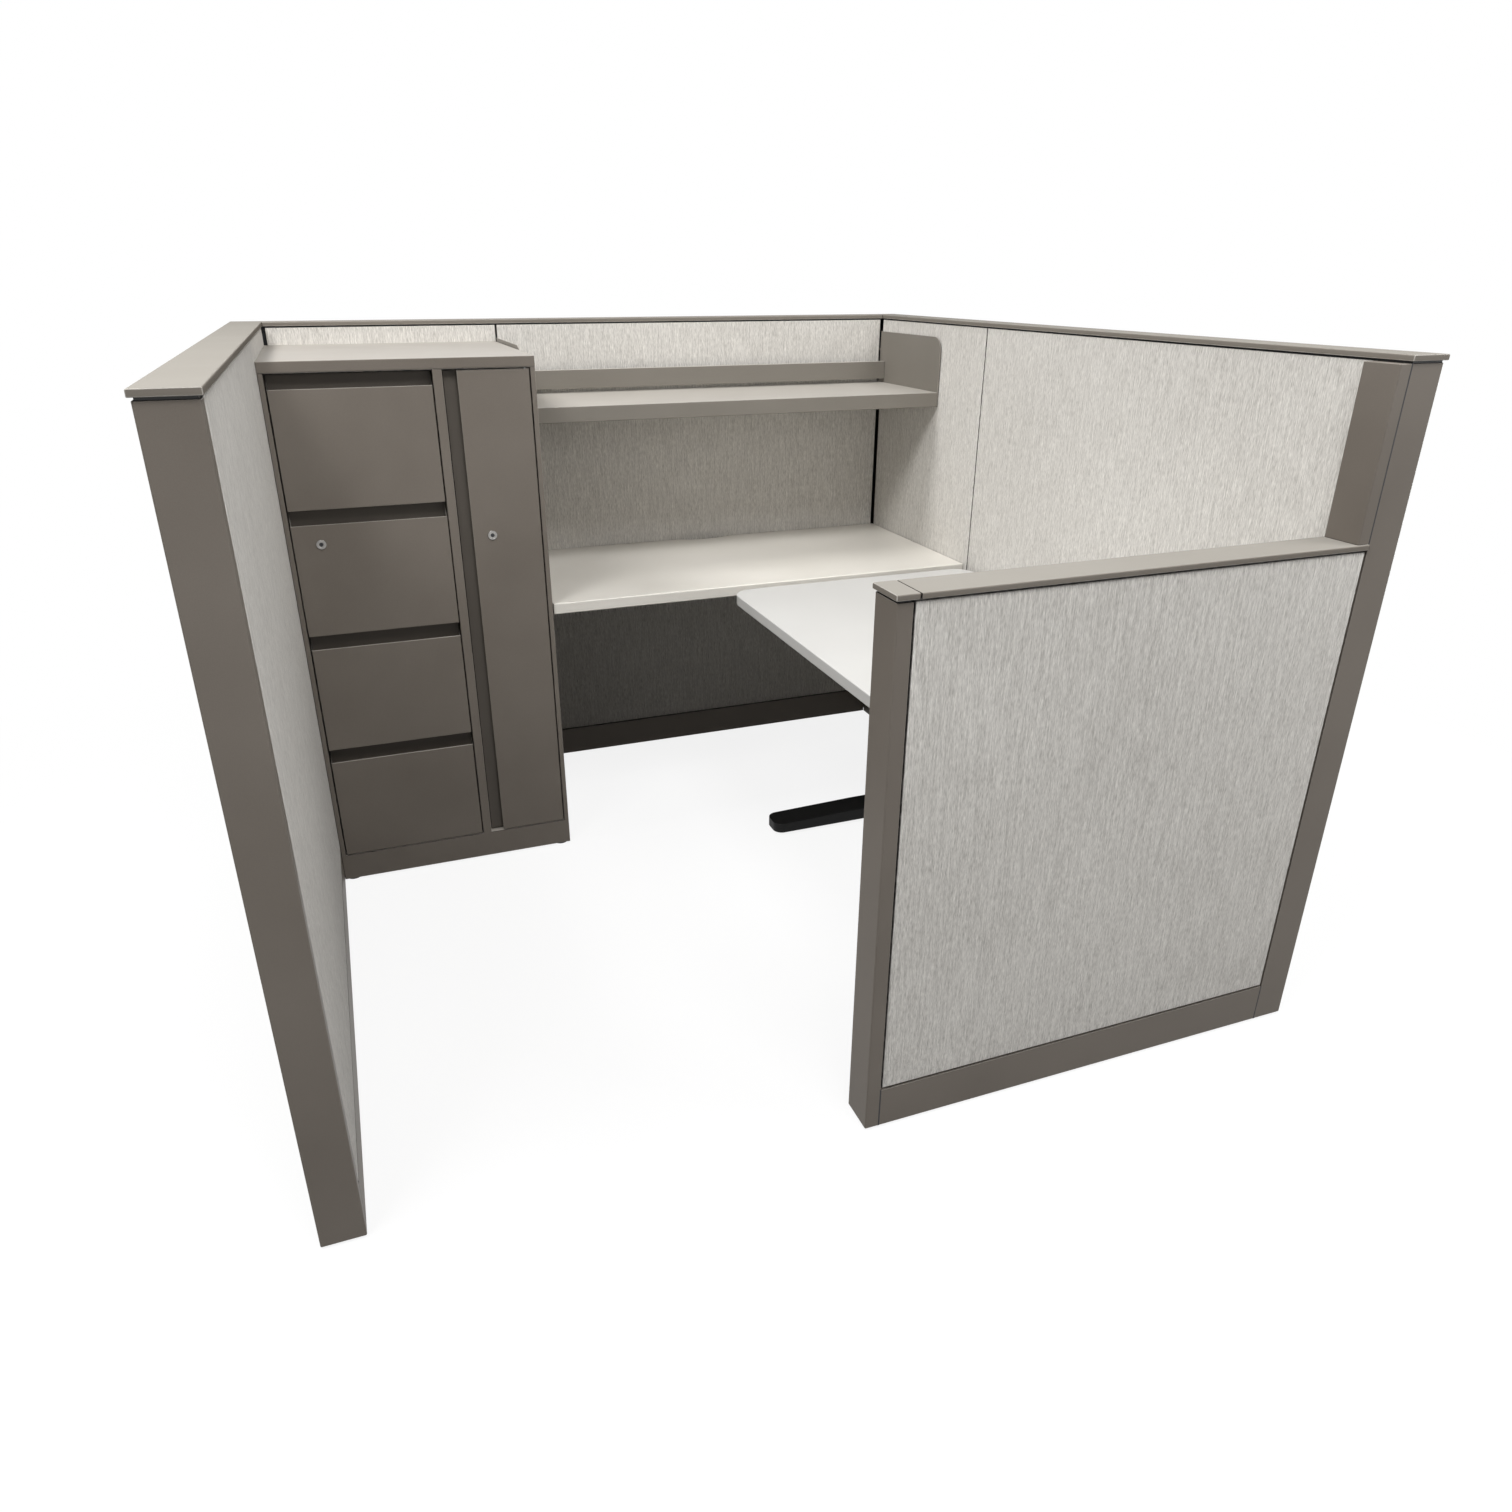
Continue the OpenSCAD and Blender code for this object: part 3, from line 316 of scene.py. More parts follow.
def emptied_tree(owner: bpy.types.Material | bpy.types.World) -> NodeTree:
    """Gives a new material's or world's node tree, with nothing in it.

    Args:
        owner: The material or world.

    Returns:
        Its tree.
    """
    owner.use_nodes = True
    owner.node_tree.nodes.clear()
    return owner.node_tree


class Group(Tree):
    """A shader node group with named sockets, built once and placed in many finishes."""

    def __init__(self, name: str) -> None:
        """Makes the group with its two end nodes and the place as its first input."""
        super().__init__(bpy.data.node_groups.new(name, "ShaderNodeTree"))
        self.source = self.node("NodeGroupInput")
        self.sink = self.node("NodeGroupOutput")
        self.place = self.takes(Vector="Vector")[0]

    def takes(self, **kinds: str) -> list[Socket]:
        """Gives the group inputs.

        Args:
            **kinds: Float, Color or Vector for each input by name, with _ for a space.

        Returns:
            The sockets inside the group that hold them.
        """
        names = [key.replace("_", " ") for key in kinds]
        for name, kind in zip(names, kinds.values()):
            self.tree.interface.new_socket(name=name, in_out="INPUT", socket_type=f"NodeSocket{kind}")
        return [self.source.outputs[name] for name in names]

    def gives(self, **outputs: Socket) -> NodeTree:
        """Gives the group outputs, of which Color is a colour and any other one a number.

        Args:
            **outputs: What it puts out, by name.

        Returns:
            The finished group.
        """
        for name, value in outputs.items():
            kind = "Color" if name == "Color" else "Float"
            self.tree.interface.new_socket(name=name, in_out="OUTPUT", socket_type=f"NodeSocket{kind}")
            self.feed(self.sink.inputs[name], value)
        return self.tree


def upright_rib_group() -> NodeTree:
    """Builds the cloth's look: short upright dashes of lighter and darker yarn, stronger in places.

    Returns:
        The group, with Color and Height.
    """
    group = Group("upright_rib")
    light, dark, width, length = group.takes(
        Light="Color", Dark="Color", Rib_Width="Float", Rib_Length="Float")
    wider, longer, dash_share, contrast = 1.7, 4, 0.7, 2.8
    patch_width, patch_length = 55 * MM, 120 * MM
    dashes = group.noise(group.stretched(group.place, width, length), detail=3, roughness=0.65)
    rib_size = group.math("MULTIPLY", width, wider), group.math("MULTIPLY", length, longer)
    ribs = group.noise(group.stretched(group.place, *rib_size), detail=1)
    patches = group.noise(group.stretched(group.place, patch_width, patch_length))
    strength = group.spread(patches, 0.35, 0.65, 0.9, 1.05)
    tone = group.math("SUBTRACT", group.blend(dashes, ribs, dash_share), 0.5)
    broad = group.spread(group.noise(group.place, 1.9), 0.3, 0.7, -0.06, 0.06)
    level = group.math("ADD", group.math("MULTIPLY", tone, strength, contrast), broad, 0.5)
    return group.gives(Color=group.mix(group.spread(level, 0.0, 1.0), dark, light), Height=level)


def spots_group() -> NodeTree:
    """Builds faint marks of use that lie here and there over a colour.

    Returns:
        The group, with Color.
    """
    group = Group("spots")
    colour, soil, size, amount = group.takes(Color="Color", Soil="Color", Size="Float", Amount="Float")
    where = group.spread(group.noise(group.place, 1.7), 0.52, 0.7)
    fine = group.noise(group.stretched(group.place, size, size), detail=4, roughness=0.7)
    share = group.math("MULTIPLY", where, group.spread(fine, 0.55, 0.75), amount)
    return group.gives(Color=group.mix(share, colour, soil))


def fine_grain_group() -> NodeTree:
    """Builds the fine orange-peel grain of sprayed paint and moulded plastic.

    Returns:
        The group, with Color, Roughness and Height.
    """
    group = Group("fine_grain")
    colour, shade, grain, gloss = group.takes(Color="Color", Shade="Color", Grain="Float", Gloss="Float")
    peel_share, gloss_swing = 0.35, 0.04
    peel = group.noise(group.stretched(group.place, grain, grain))
    cloud = group.noise(group.place, 3.1, 3)
    tone = group.spread(group.blend(peel, cloud, peel_share), 0.35, 0.65)
    rough = group.math("ADD", gloss, group.spread(cloud, 0.3, 0.7, -gloss_swing, gloss_swing))
    return group.gives(Color=group.mix(tone, shade, colour), Roughness=rough, Height=peel)


def painted_edge_light_and_shade_group() -> NodeTree:
    """Builds another colour where a mask of a piece's faces says, broken up by noise: a painted highlight
    on free rounded edges, and painted shade in seams.

    Returns:
        The group, with Color.
    """
    group = Group("painted_edge_light_and_shade")
    colour, edge, mask, amount = group.takes(Color="Color", Edge="Color", Mask="Float", Amount="Float")
    broken = group.spread(group.noise(group.place, 60, 3), 0.25, 0.6, 0.55, 1.0)
    return group.gives(Color=group.mix(group.math("MULTIPLY", mask, broken, amount), colour, edge))


def upward_painted_highlight_group() -> NodeTree:
    """Builds a painted highlight on faces that look up, which stands in for the lamps' light and glare on
    them.

    Returns:
        The group, with Color.
    """
    group = Group("upward_painted_highlight")
    normal, colour, painted_highlight_colour, amount = group.takes(
        Normal="Vector", Color="Color", Bloom="Color", Amount="Float")
    up = group.spread(group.part(normal, "Z"), 0.6, 0.95)
    uneven = group.spread(group.noise(group.place, 5.3, 4), 0.3, 0.7, 0.88, 1.0)
    return group.gives(Color=group.mix(group.math("MULTIPLY", up, uneven, amount), colour, painted_highlight_colour))


def painted_case_shade_group() -> NodeTree:
    """Builds painted shade behind a case's front, on all but what faces its back, which fades farther in.

    Returns:
        The group, with Color.
    """
    group = Group("painted_case_shade")
    normal, colour, middle, half, reach, amount = group.takes(
        Normal="Vector", Color="Color", Middle="Vector", Half="Vector", Reach="Float", Amount="Float")
    full_reaches, faded_reaches, left_share = 2.5, 6.0, 0.25
    away = group.vector("ABSOLUTE", group.vector("SUBTRACT", group.place, middle))
    inside = group.vector("SUBTRACT", half, away)
    nearest = group.math("MINIMUM", group.part(inside, "X"), group.part(inside, "Z"))
    within = group.math("GREATER_THAN", nearest, 0.0)
    reaches = group.math("DIVIDE", group.part(inside, "Y"), reach)
    starting = group.spread(reaches, 0.0, 1.0)
    fading = group.spread(reaches, full_reaches, faded_reaches, 1.0, left_share)
    frontward = group.spread(group.part(normal, "Y"), 0.3, 0.7, 1.0, 0.0)
    share = group.math("MULTIPLY", within, starting, fading, frontward, amount)
    return group.gives(Color=group.mix(share, colour, PAINTED_DEEP_SHADE))


GROUP_MAKERS = {maker.__name__.removesuffix("_group"): maker for maker in (
    upright_rib_group, spots_group, fine_grain_group,
    painted_edge_light_and_shade_group, upward_painted_highlight_group, painted_case_shade_group)}


class Shader(Tree):
    """A material under construction: its principled shader, its place on the object and its groups."""

    def __init__(self, name: str) -> None:
        """Makes the material with its shader and its texture coordinates."""
        super().__init__(emptied_tree(bpy.data.materials.new(name)))
        self.surface = self.node("ShaderNodeBsdfPrincipled")
        self.show("ShaderNodeOutputMaterial", self.surface.outputs["BSDF"])
        coordinates = self.node("ShaderNodeTexCoord")
        self.place = coordinates.outputs["Object"]
        self.normal = coordinates.outputs["Normal"]

    def group(self, name: str, **inputs: Value) -> bpy.types.NodeOutputs:
        """Places a shared group, which is built at its first use.

        Args:
            name: The group's name.
            **inputs: Its inputs by name, with _ for a space.

        Returns:
            The group's outputs.
        """
        tree = bpy.data.node_groups.get(name) or GROUP_MAKERS[name]()
        return self.fill(self.node("ShaderNodeGroup", node_tree=tree), Vector=self.place, **inputs)

    def edged(self, colour: Value, mask: str, edge: Colour, amount: float) -> Socket:
        """Turns a colour into another one on the faces of a mask, which paints a highlight on eased edges
        and shade in seams.

        Args:
            colour: The colour.
            mask: The mask's name, EASED or SEAM.
            edge: The other colour.
            amount: Its share there, 0 to 1.

        Returns:
            The resulting colour.
        """
        carried = self.node("ShaderNodeAttribute", attribute_name=mask).outputs["Fac"]
        return self.group("painted_edge_light_and_shade", Color=colour, Edge=edge, Mask=carried, Amount=amount)["Color"]

    def relief(self, height: Socket, depth: float, strength: float) -> None:
        """Raises the surface by a height.

        Args:
            height: The height, 0 to 1.
            depth: What a height of 1 stands for, in metres.
            strength: How much of it shows.
        """
        bump = self.fill(self.node("ShaderNodeBump"), Strength=strength, Distance=depth, Height=height)
        self.fill(self.surface, Normal=bump["Normal"])


@dataclass(frozen=True)
class Finish:
    """What every finish has: the slot that it belongs to."""

    slot: Slot

    def dress(self, shader: Shader) -> None:
        """Fills in the shader; each kind of finish has its own way."""
        raise NotImplementedError

    def material(self) -> bpy.types.Material:
        """Gives the finish's material, made at its first use."""
        name = f"{self.slot.value}_finish"
        if name not in bpy.data.materials:
            self.dress(Shader(name))
        return bpy.data.materials[name]


@dataclass(frozen=True)
class ClothFinish(Finish):
    """Woven cloth with upright ribs, faint marks, a soft sheen and painted shade on the tiles' sides at the
    seams.
    """

    light: Colour = srgb(241, 238, 232)
    dark: Colour = srgb(176, 172, 166)
    soil: Colour = srgb(120, 115, 108)
    # Share of painted shade on the tiles' sides at the seams.
    seam: float = 0.8
    rough: float = 0.95
    sheen: float = 0.1
    sheen_rough: float = 0.5
    specular: float = 0.1
    rib_width: float = 1.8 * MM
    rib_length: float = 14 * MM
    relief: float = 0.4 * MM
    relief_shown: float = 0.7
    spot: float = 9 * MM
    soiled: float = 0.1
    kicked: float = 0.6
    kicked_from: float = 260 * MM
    kicked_to: float = 130 * MM

    def dress(self, shader: Shader) -> None:
        """Weaves the cloth, with more marks near the floor, where feet and cleaners touch it."""
        cloth = shader.group("upright_rib", Light=self.light, Dark=self.dark, Rib_Width=self.rib_width,
                             Rib_Length=self.rib_length)
        amount = shader.spread(shader.part(shader.place, "Z"), self.kicked_to, self.kicked_from,
                               self.soiled + self.kicked, self.soiled)
        marked = shader.group("spots", Color=cloth["Color"], Soil=self.soil, Size=self.spot, Amount=amount)
        # Painted shade on the tiles' turned sides, where they face each other across a seam.
        colour = shader.edged(marked["Color"], SEAM, PAINTED_SEAM_SHADE, self.seam)
        shader.fill(shader.surface, Base_Color=colour, Roughness=self.rough, Sheen_Weight=self.sheen,
                    Sheen_Roughness=self.sheen_rough, Specular_IOR_Level=self.specular)
        shader.relief(cloth["Height"], self.relief, self.relief_shown)


@dataclass(frozen=True)
class GrainedFinish(Finish):
    """What paint, laminate, metal and plastic share: a fine grain in a colour and a darker shade."""

    colour: Colour
    shade: Colour
    gloss: float
    grain: float
    relief: float
    relief_shown: float = 0.5
    specular: float = 0.5
    metallic: float = 0.0

    def over(self, shader: Shader, colour: Socket) -> Socket:
        """Lays over the grain's colour what the finish has there, which is nothing on metal and plastic.

        Args:
            shader: The shader.
            colour: The grain's colour.

        Returns:
            The resulting colour.
        """
        return colour

    def dress(self, shader: Shader) -> None:
        """Lays the grain and what is over it."""
        grain = shader.group("fine_grain", Color=self.colour, Shade=self.shade, Grain=self.grain,
                             Gloss=self.gloss)
        colour = self.over(shader, grain["Color"])
        shader.fill(shader.surface, Base_Color=colour, Roughness=grain["Roughness"],
                    Specular_IOR_Level=self.specular, Metallic=self.metallic)
        shader.relief(grain["Height"], self.relief, self.relief_shown)


@dataclass(frozen=True)
class PaintFinish(GrainedFinish):
    """Sprayed paint with a fine grain, a painted highlight on rounded edges and on what looks up, and
    painted shade in seams and behind a case's front.
    """

    colour: Colour = srgb(124, 117, 109)
    shade: Colour = srgb(112, 105, 97)
    gloss: float = 0.48
    grain: float = 1.1 * MM
    relief: float = 0.05 * MM
    specular: float = 0.2
    # Painted highlight: the paler colour on free rounded edges, and its share.
    edge: Colour = srgb(178, 173, 165)
    edge_highlight: float = 0.45
    # Painted highlight on faces that look up: its colour and its share.
    painted_highlight_colour: Colour = srgb(194, 189, 181)
    painted_highlight_share: float = 0.0
    # Painted shade behind a case's front: the case's inside, the depth where the shade is full, and its
    # share.
    inside: Box | None = None
    inside_reach: float = 16 * MM
    painted_inside_shade: float = 0.52

    def over(self, shader: Shader, colour: Socket) -> Socket:
        """Lays the painted highlight on rounded edges and on upward faces, and the painted shade in seams
        and inside the case, over the paint.
        """
        colour = shader.edged(colour, EASED, self.edge, self.edge_highlight)
        colour = shader.edged(colour, SEAM, PAINTED_SEAM_SHADE, 1.0)
        if self.painted_highlight_share:
            colour = shader.group("upward_painted_highlight", Normal=shader.normal, Color=colour, Bloom=self.painted_highlight_colour,
                                  Amount=self.painted_highlight_share)["Color"]
        if self.inside:
            low, high = self.inside
            colour = shader.group("painted_case_shade", Normal=shader.normal, Color=colour, Middle=(low + high) / 2,
                                  Half=(high - low) / 2, Reach=self.inside_reach,
                                  Amount=self.painted_inside_shade)["Color"]
        return colour


@dataclass(frozen=True)
class LaminateFinish(GrainedFinish):
    """A printed laminate on board: a pale ground with the finest flecks and a few marks of use, a painted
    highlight on its rounded edges and painted shade in its seams.
    """

    colour: Colour = srgb(231, 227, 219)
    shade: Colour = srgb(221, 217, 208)
    gloss: float = 0.38
    grain: float = 0.9 * MM
    relief: float = 0.03 * MM
    relief_shown: float = 0.4
    # Painted highlight: the paler colour on free rounded edges and its share; then the share of painted
    # shade in seams.
    edge: Colour = srgb(236, 233, 227)
    edge_highlight: float = 0.5
    seam: float = 0.6
    spot: float = 14 * MM
    soiled: float = 0.5

    def over(self, shader: Shader, colour: Socket) -> Socket:
        """Lays the marks, the painted highlight on the edges and the painted shade in the seams over the
        flecks.
        """
        marked = shader.group("spots", Color=colour, Soil=self.shade, Size=self.spot, Amount=self.soiled)
        edge_highlight = shader.edged(marked["Color"], EASED, self.edge, self.edge_highlight)
        return shader.edged(edge_highlight, SEAM, PAINTED_SEAM_SHADE, self.seam)


@dataclass(frozen=True)
class MetalFinish(GrainedFinish):
    """Bare or plated metal, cloudy where it is plated."""

    colour: Colour = srgb(186, 188, 190)
    shade: Colour = srgb(160, 162, 164)
    gloss: float = 0.36
    grain: float = 6 * MM
    relief: float = 0.02 * MM
    relief_shown: float = 0.3
    metallic: float = 1.0


@dataclass(frozen=True)
class PlasticFinish(GrainedFinish):
    """Moulded plastic with a fine spark-eroded grain."""

    colour: Colour = srgb(34, 34, 35)
    shade: Colour = srgb(26, 26, 27)
    gloss: float = 0.55
    grain: float = 0.7 * MM
    relief: float = 0.06 * MM


CASE_LOW_INSET = Vector((1.2, 2.2, -1.5)) * MM
CASE_HIGH_INSET = Vector((1.2, 0.0, 1.0)) * MM


def case_inside() -> Box:
    """Finds the inside of the tower's case, behind its front and within its sides.

    Returns:
        Its lowest and highest corner.
    """
    low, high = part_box("tower_case")
    door_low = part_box("wardrobe_door")[0]
    return Vector((low.x, low.y, door_low.z)) + CASE_LOW_INSET, high - CASE_HIGH_INSET


# The paint and laminate finishes carry a painted highlight on free rounded edges and painted shade in
# seams; several paint rows also put a painted highlight on faces that look up.
FINISHES: dict[Slot, Finish] = {finish.slot: finish for finish in (
    ClothFinish(Slot.WALL_FABRIC),
    # Frame: dark grey, darker than bare zinc; partly the frame's own tone, partly painted shade for the
    # narrow gaps between tiles through which it shows.
    MetalFinish(Slot.FRAME_ZINC, srgb(84, 85, 87), srgb(64, 65, 67), 0.55),
    # Caps: no specular reflection; a painted highlight on their tops stands in for the lamps' glare there.
    PaintFinish(Slot.CAP_PAINT, srgb(134, 128, 120), srgb(126, 120, 112), 0.6, specular=0.0,
                edge=srgb(208, 204, 197), edge_highlight=0.7, painted_highlight_colour=srgb(156, 152, 145), painted_highlight_share=0.95),
    PaintFinish(Slot.TRIM_PAINT, edge_highlight=0.3),
    PlasticFinish(Slot.GLIDE_PLASTIC),
    LaminateFinish(Slot.WORKSURFACE_LAMINATE),
    PaintFinish(Slot.SHELF_PAINT, srgb(132, 127, 119), srgb(124, 119, 111), painted_highlight_share=0.75),
    PaintFinish(Slot.BRACKET_PAINT, srgb(120, 116, 110), srgb(112, 108, 102)),
    # Tower: painted shade behind the case's front, in the gaps round the drawers and door and in their pull
    # recesses.
    PaintFinish(Slot.TOWER_PAINT, edge_highlight=0.35, painted_highlight_share=0.6, inside=case_inside()),
    PaintFinish(Slot.DRAWER_PAINT, srgb(126, 122, 116), srgb(118, 114, 108), 0.5),
    MetalFinish(Slot.SLIDE_ZINC),
    MetalFinish(Slot.LOCK_CHROME, srgb(178, 176, 173), srgb(150, 148, 145), 0.26),
    LaminateFinish(Slot.DESK_LAMINATE, srgb(211, 210, 207), srgb(206, 205, 202), 0.36,
                   edge=srgb(222, 222, 220)),
    PaintFinish(Slot.DESK_BLACK, srgb(28, 28, 28), srgb(22, 22, 22), 0.5, edge=srgb(60, 60, 60)),
    PlasticFinish(Slot.HOUSING_PLASTIC),
    PlasticFinish(Slot.BUTTON_PLASTIC, srgb(150, 150, 150), srgb(140, 140, 140)),
)}

NODE_SLOTS: dict[str, Slot] = {
    row["node"]: Slot(row["material_slot"]) for row in frame["record"]["subparts"]}
NODE_BODIES: dict[str, str] = {
    node: body for body, nodes in frame["record"]["behaviour"]["bodies"].items() for node in nodes}


def add_object(name: str, data: bpy.types.ID) -> bpy.types.Object:
    """Puts a new object into the scene.

    Args:
        name: The object's name.
        data: Its mesh, lamp or camera.

    Returns:
        The object.
    """
    made = bpy.data.objects.new(name, data)
    bpy.context.scene.collection.objects.link(made)
    return made


def add_mesh(bm: BMesh, name: str, material: bpy.types.Material) -> bpy.types.Object:
    """Turns a finished bmesh into an object.

    Args:
        bm: The mesh, in the frame's own metres. It is freed.
        name: The object's name.
        material: What it is made of.

    Returns:
        The object.
    """
    mesh = bpy.data.meshes.new(name)
    bm.to_mesh(mesh)
    bm.free()
    mesh.materials.append(material)
    return add_object(name, mesh)


def add_detail(bm: BMesh, name: str, body: str, slot: Slot) -> bpy.types.Object:
    """Turns a finished bmesh into a piece that rides with a body and wears a slot's finish.

    Args:
        bm: The mesh, in the frame's own metres. It is freed.
        name: The piece's name.
        body: The body that it rides with.
        slot: The material slot that it takes its finish from.

    Returns:
        The piece's object.
    """
    piece = add_mesh(bm, name, FINISHES[slot].material())
    mesh = piece.data
    mesh.shade_smooth()
    mesh.set_sharp_from_angle(angle=SHARP_ANGLE)
    weighted = piece.modifiers.new("weighted", "WEIGHTED_NORMAL")
    weighted.keep_sharp = True
    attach(piece, body)
    LOG.info("%s rides with %s: %d faces", name, body, len(mesh.polygons))
    return piece


def add_piece(bm: BMesh, name: str, node: str) -> None:
    """Turns a finished bmesh into a piece that stands for a node, rides with it and wears its finish.

    Args:
        bm: The mesh, in the frame's own metres. It is freed.
        name: The piece's name.
        node: The node that it replaces.
    """
    piece = add_detail(bm, name, NODE_BODIES[node], NODE_SLOTS[node])
    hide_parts(node)


def merged_copy(node: str) -> BMesh:
    """Copies a node's loose triangles into one closed mesh with whole flat faces.

    Args:
        node: The node.

    Returns:
        The merged copy.
    """
    bm = bmesh.new()
    bm.from_mesh(frame["nodes"][node].data)
    bmesh.ops.remove_doubles(bm, verts=bm.verts, dist=WELD)
    bmesh.ops.dissolve_limit(bm, angle_limit=FLAT_ANGLE, verts=bm.verts, edges=bm.edges)
    return bm


class Surface:
    """A node's surface, on which details are seated."""

    def __init__(self, node: str) -> None:
        """Takes the node."""
        bm = merged_copy(node)
        self.tree = BVHTree.FromBMesh(bm)
        bm.free()

    def under(self, place: Vector, way: Vector) -> Vector:
        """Finds where a line from a place first meets the surface.

        Args:
            place: Where the line starts.
            way: Its direction.

        Returns:
            The point that it meets, or its start where it meets none.
        """
        hit = self.tree.ray_cast(place, way)[0]
        return place if hit is None else hit


class Neighbours:
    """The surfaces of all nodes, to tell where a part's edge stands close to another part."""

    def __init__(self, reach: float) -> None:
        """Takes every node's surface.

        Args:
            reach: How close counts as close.
        """
        self.reach = reach
        self.surfaces: dict[str, tuple[Vector, Vector, BVHTree]] = {}
        margin = Vector((reach, reach, reach))
        for node in NODE_SLOTS:
            low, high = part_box(node)
            self.surfaces[node] = (low - margin, high + margin, Surface(node).tree)

    def close(self, node: str, place: Vector) -> bool:
        """Tells whether another node's surface is close to a place.

        Args:
            node: The node that the place belongs to.
            place: The place.

        Returns:
            Whether one is.
        """
        return any(
            other != node and all(low[axis] <= place[axis] <= high[axis] for axis in range(3))
            and tree.find_nearest(place, self.reach)[0] is not None
            for other, (low, high, tree) in self.surfaces.items())


def soften(bm: BMesh, edges: list[bmesh.types.BMEdge], width: float,
           segments: int = 2) -> list[bmesh.types.BMFace]:
    """Rounds edges.

    Args:
        bm: The mesh.
        edges: The edges.
        width: How far the rounding reaches from each edge.
        segments: How many faces go round it.

    Returns:
        The new faces.
    """
    return bmesh.ops.bevel(bm, geom=edges, offset=width, offset_type="OFFSET", segments=segments,
                           profile=0.5, affect="EDGES", clamp_overlap=True, material=-1)["faces"]


def ease_edges(bm: BMesh, node: str, neighbours: Neighbours, width: float) -> None:
    """Rounds the sharp outer edges and marks the new faces in the masks of eased edges, which get a painted
    highlight, and of seams, which get painted shade.

    Args:
        bm: The mesh.
        node: The node that it is a copy of.
        neighbours: The surfaces of all nodes.
        width: How far the rounding reaches from the edge.
    """
    mask = bm.faces.layers.float.new(EASED)
    seam = bm.faces.layers.float.new(SEAM)
    sharp = [edge for edge in bm.edges
             if len(edge.link_faces) == 2 and edge.is_convex and edge.calc_face_angle() > SHARP_ANGLE]
    for face in soften(bm, sharp, width):
        meets = neighbours.close(node, face.calc_center_median())
        face[seam if meets else mask] = 1.0


def corners_of(places: list[Vector]) -> Box:
    """Finds the box round some places.

    Args:
        places: The places.

    Returns:
        Its lowest and highest corner.
    """
    return Vector(map(min, *places)), Vector(map(max, *places))


def thin_axis(low: Vector, high: Vector) -> int:
    """Tells which way an upright flat part is thin.

    Args:
        low: The part's lowest corner.
        high: Its highest corner.

    Returns:
        0 for x, 1 for y.
    """
    return 0 if high.x - low.x < high.y - low.y else 1


def outward(place: Vector, axis: int) -> Vector:
    """Gives the way along an axis that leads from the workstation's middle to a place.

    Args:
        place: The place.
        axis: 0 for x, 1 for y.

    Returns:
        The direction, of length 1.
    """
    way = Vector((0, 0, 0))
    way[axis] = math.copysign(1, place[axis])
    return way


def solids_of(node: str) -> list[Box]:
    """Finds the boxes of a node's separate solids.

    Args:
        node: The node.

    Returns:
        The lowest and highest corner of each solid, in the order of x, y and z.
    """
    bm = merged_copy(node)
    left = set(bm.verts)
    boxes = []
    while left:
        solid = {left.pop()}
        fresh = list(solid)
        while fresh:
            for edge in fresh.pop().link_edges:
                found = left.intersection(edge.verts)
                left -= found
                solid |= found
                fresh.extend(found)
        boxes.append(corners_of([vert.co for vert in solid]))
    bm.free()
    return sorted(boxes, key=lambda box: tuple(box[0]))


def add_disc(bm: BMesh, centre: Vector, axis: Vector, radius: float, height: float,
             rounding: float = 0.0, sides: int = 32) -> None:
    """Adds a round solid that stands on a surface.

    Args:
        bm: The mesh that it joins.
        centre: The middle of its foot.
        axis: The way that it stands, of length 1.
        radius: Its radius.
        height: Its height.
        rounding: The rounding of its far rim, 0 for none.
        sides: How many sides its round has.
    """
    turn = axis.to_track_quat("Z", "Y").to_matrix().to_4x4()
    placed = Matrix.Translation(centre + axis * height / 2) @ turn
    verts = bmesh.ops.create_cone(bm, cap_ends=True, segments=sides, radius1=radius, radius2=radius,
                                  depth=height, matrix=placed)["verts"]
    if rounding:
        far = {vert for vert in verts if (vert.co - centre).dot(axis) > height / 2}
        rim = {edge for vert in far for edge in vert.link_edges if set(edge.verts) <= far}
        soften(bm, list(rim), rounding)


def add_block(bm: BMesh, low: Vector, high: Vector) -> list[bmesh.types.BMVert]:
    """Adds a block.

    Args:
        bm: The mesh that it joins.
        low: Its lowest corner.
        high: Its highest corner.

    Returns:
        Its verts.
    """
    verts = bmesh.ops.create_cube(bm, size=1.0)["verts"]
    bmesh.ops.scale(bm, vec=high - low, verts=verts)
    bmesh.ops.translate(bm, vec=(low + high) / 2, verts=verts)
    return verts


def add_bar(bm: BMesh, low: Vector, high: Vector, rounding: float) -> None:
    """Adds a small bar with rounded edges.

    Args:
        bm: The mesh that it joins.
        low: Its lowest corner.
        high: Its highest corner.
        rounding: The rounding of its edges.
    """
    verts = add_block(bm, low, high)
    soften(bm, list({edge for vert in verts for edge in vert.link_edges}), rounding)


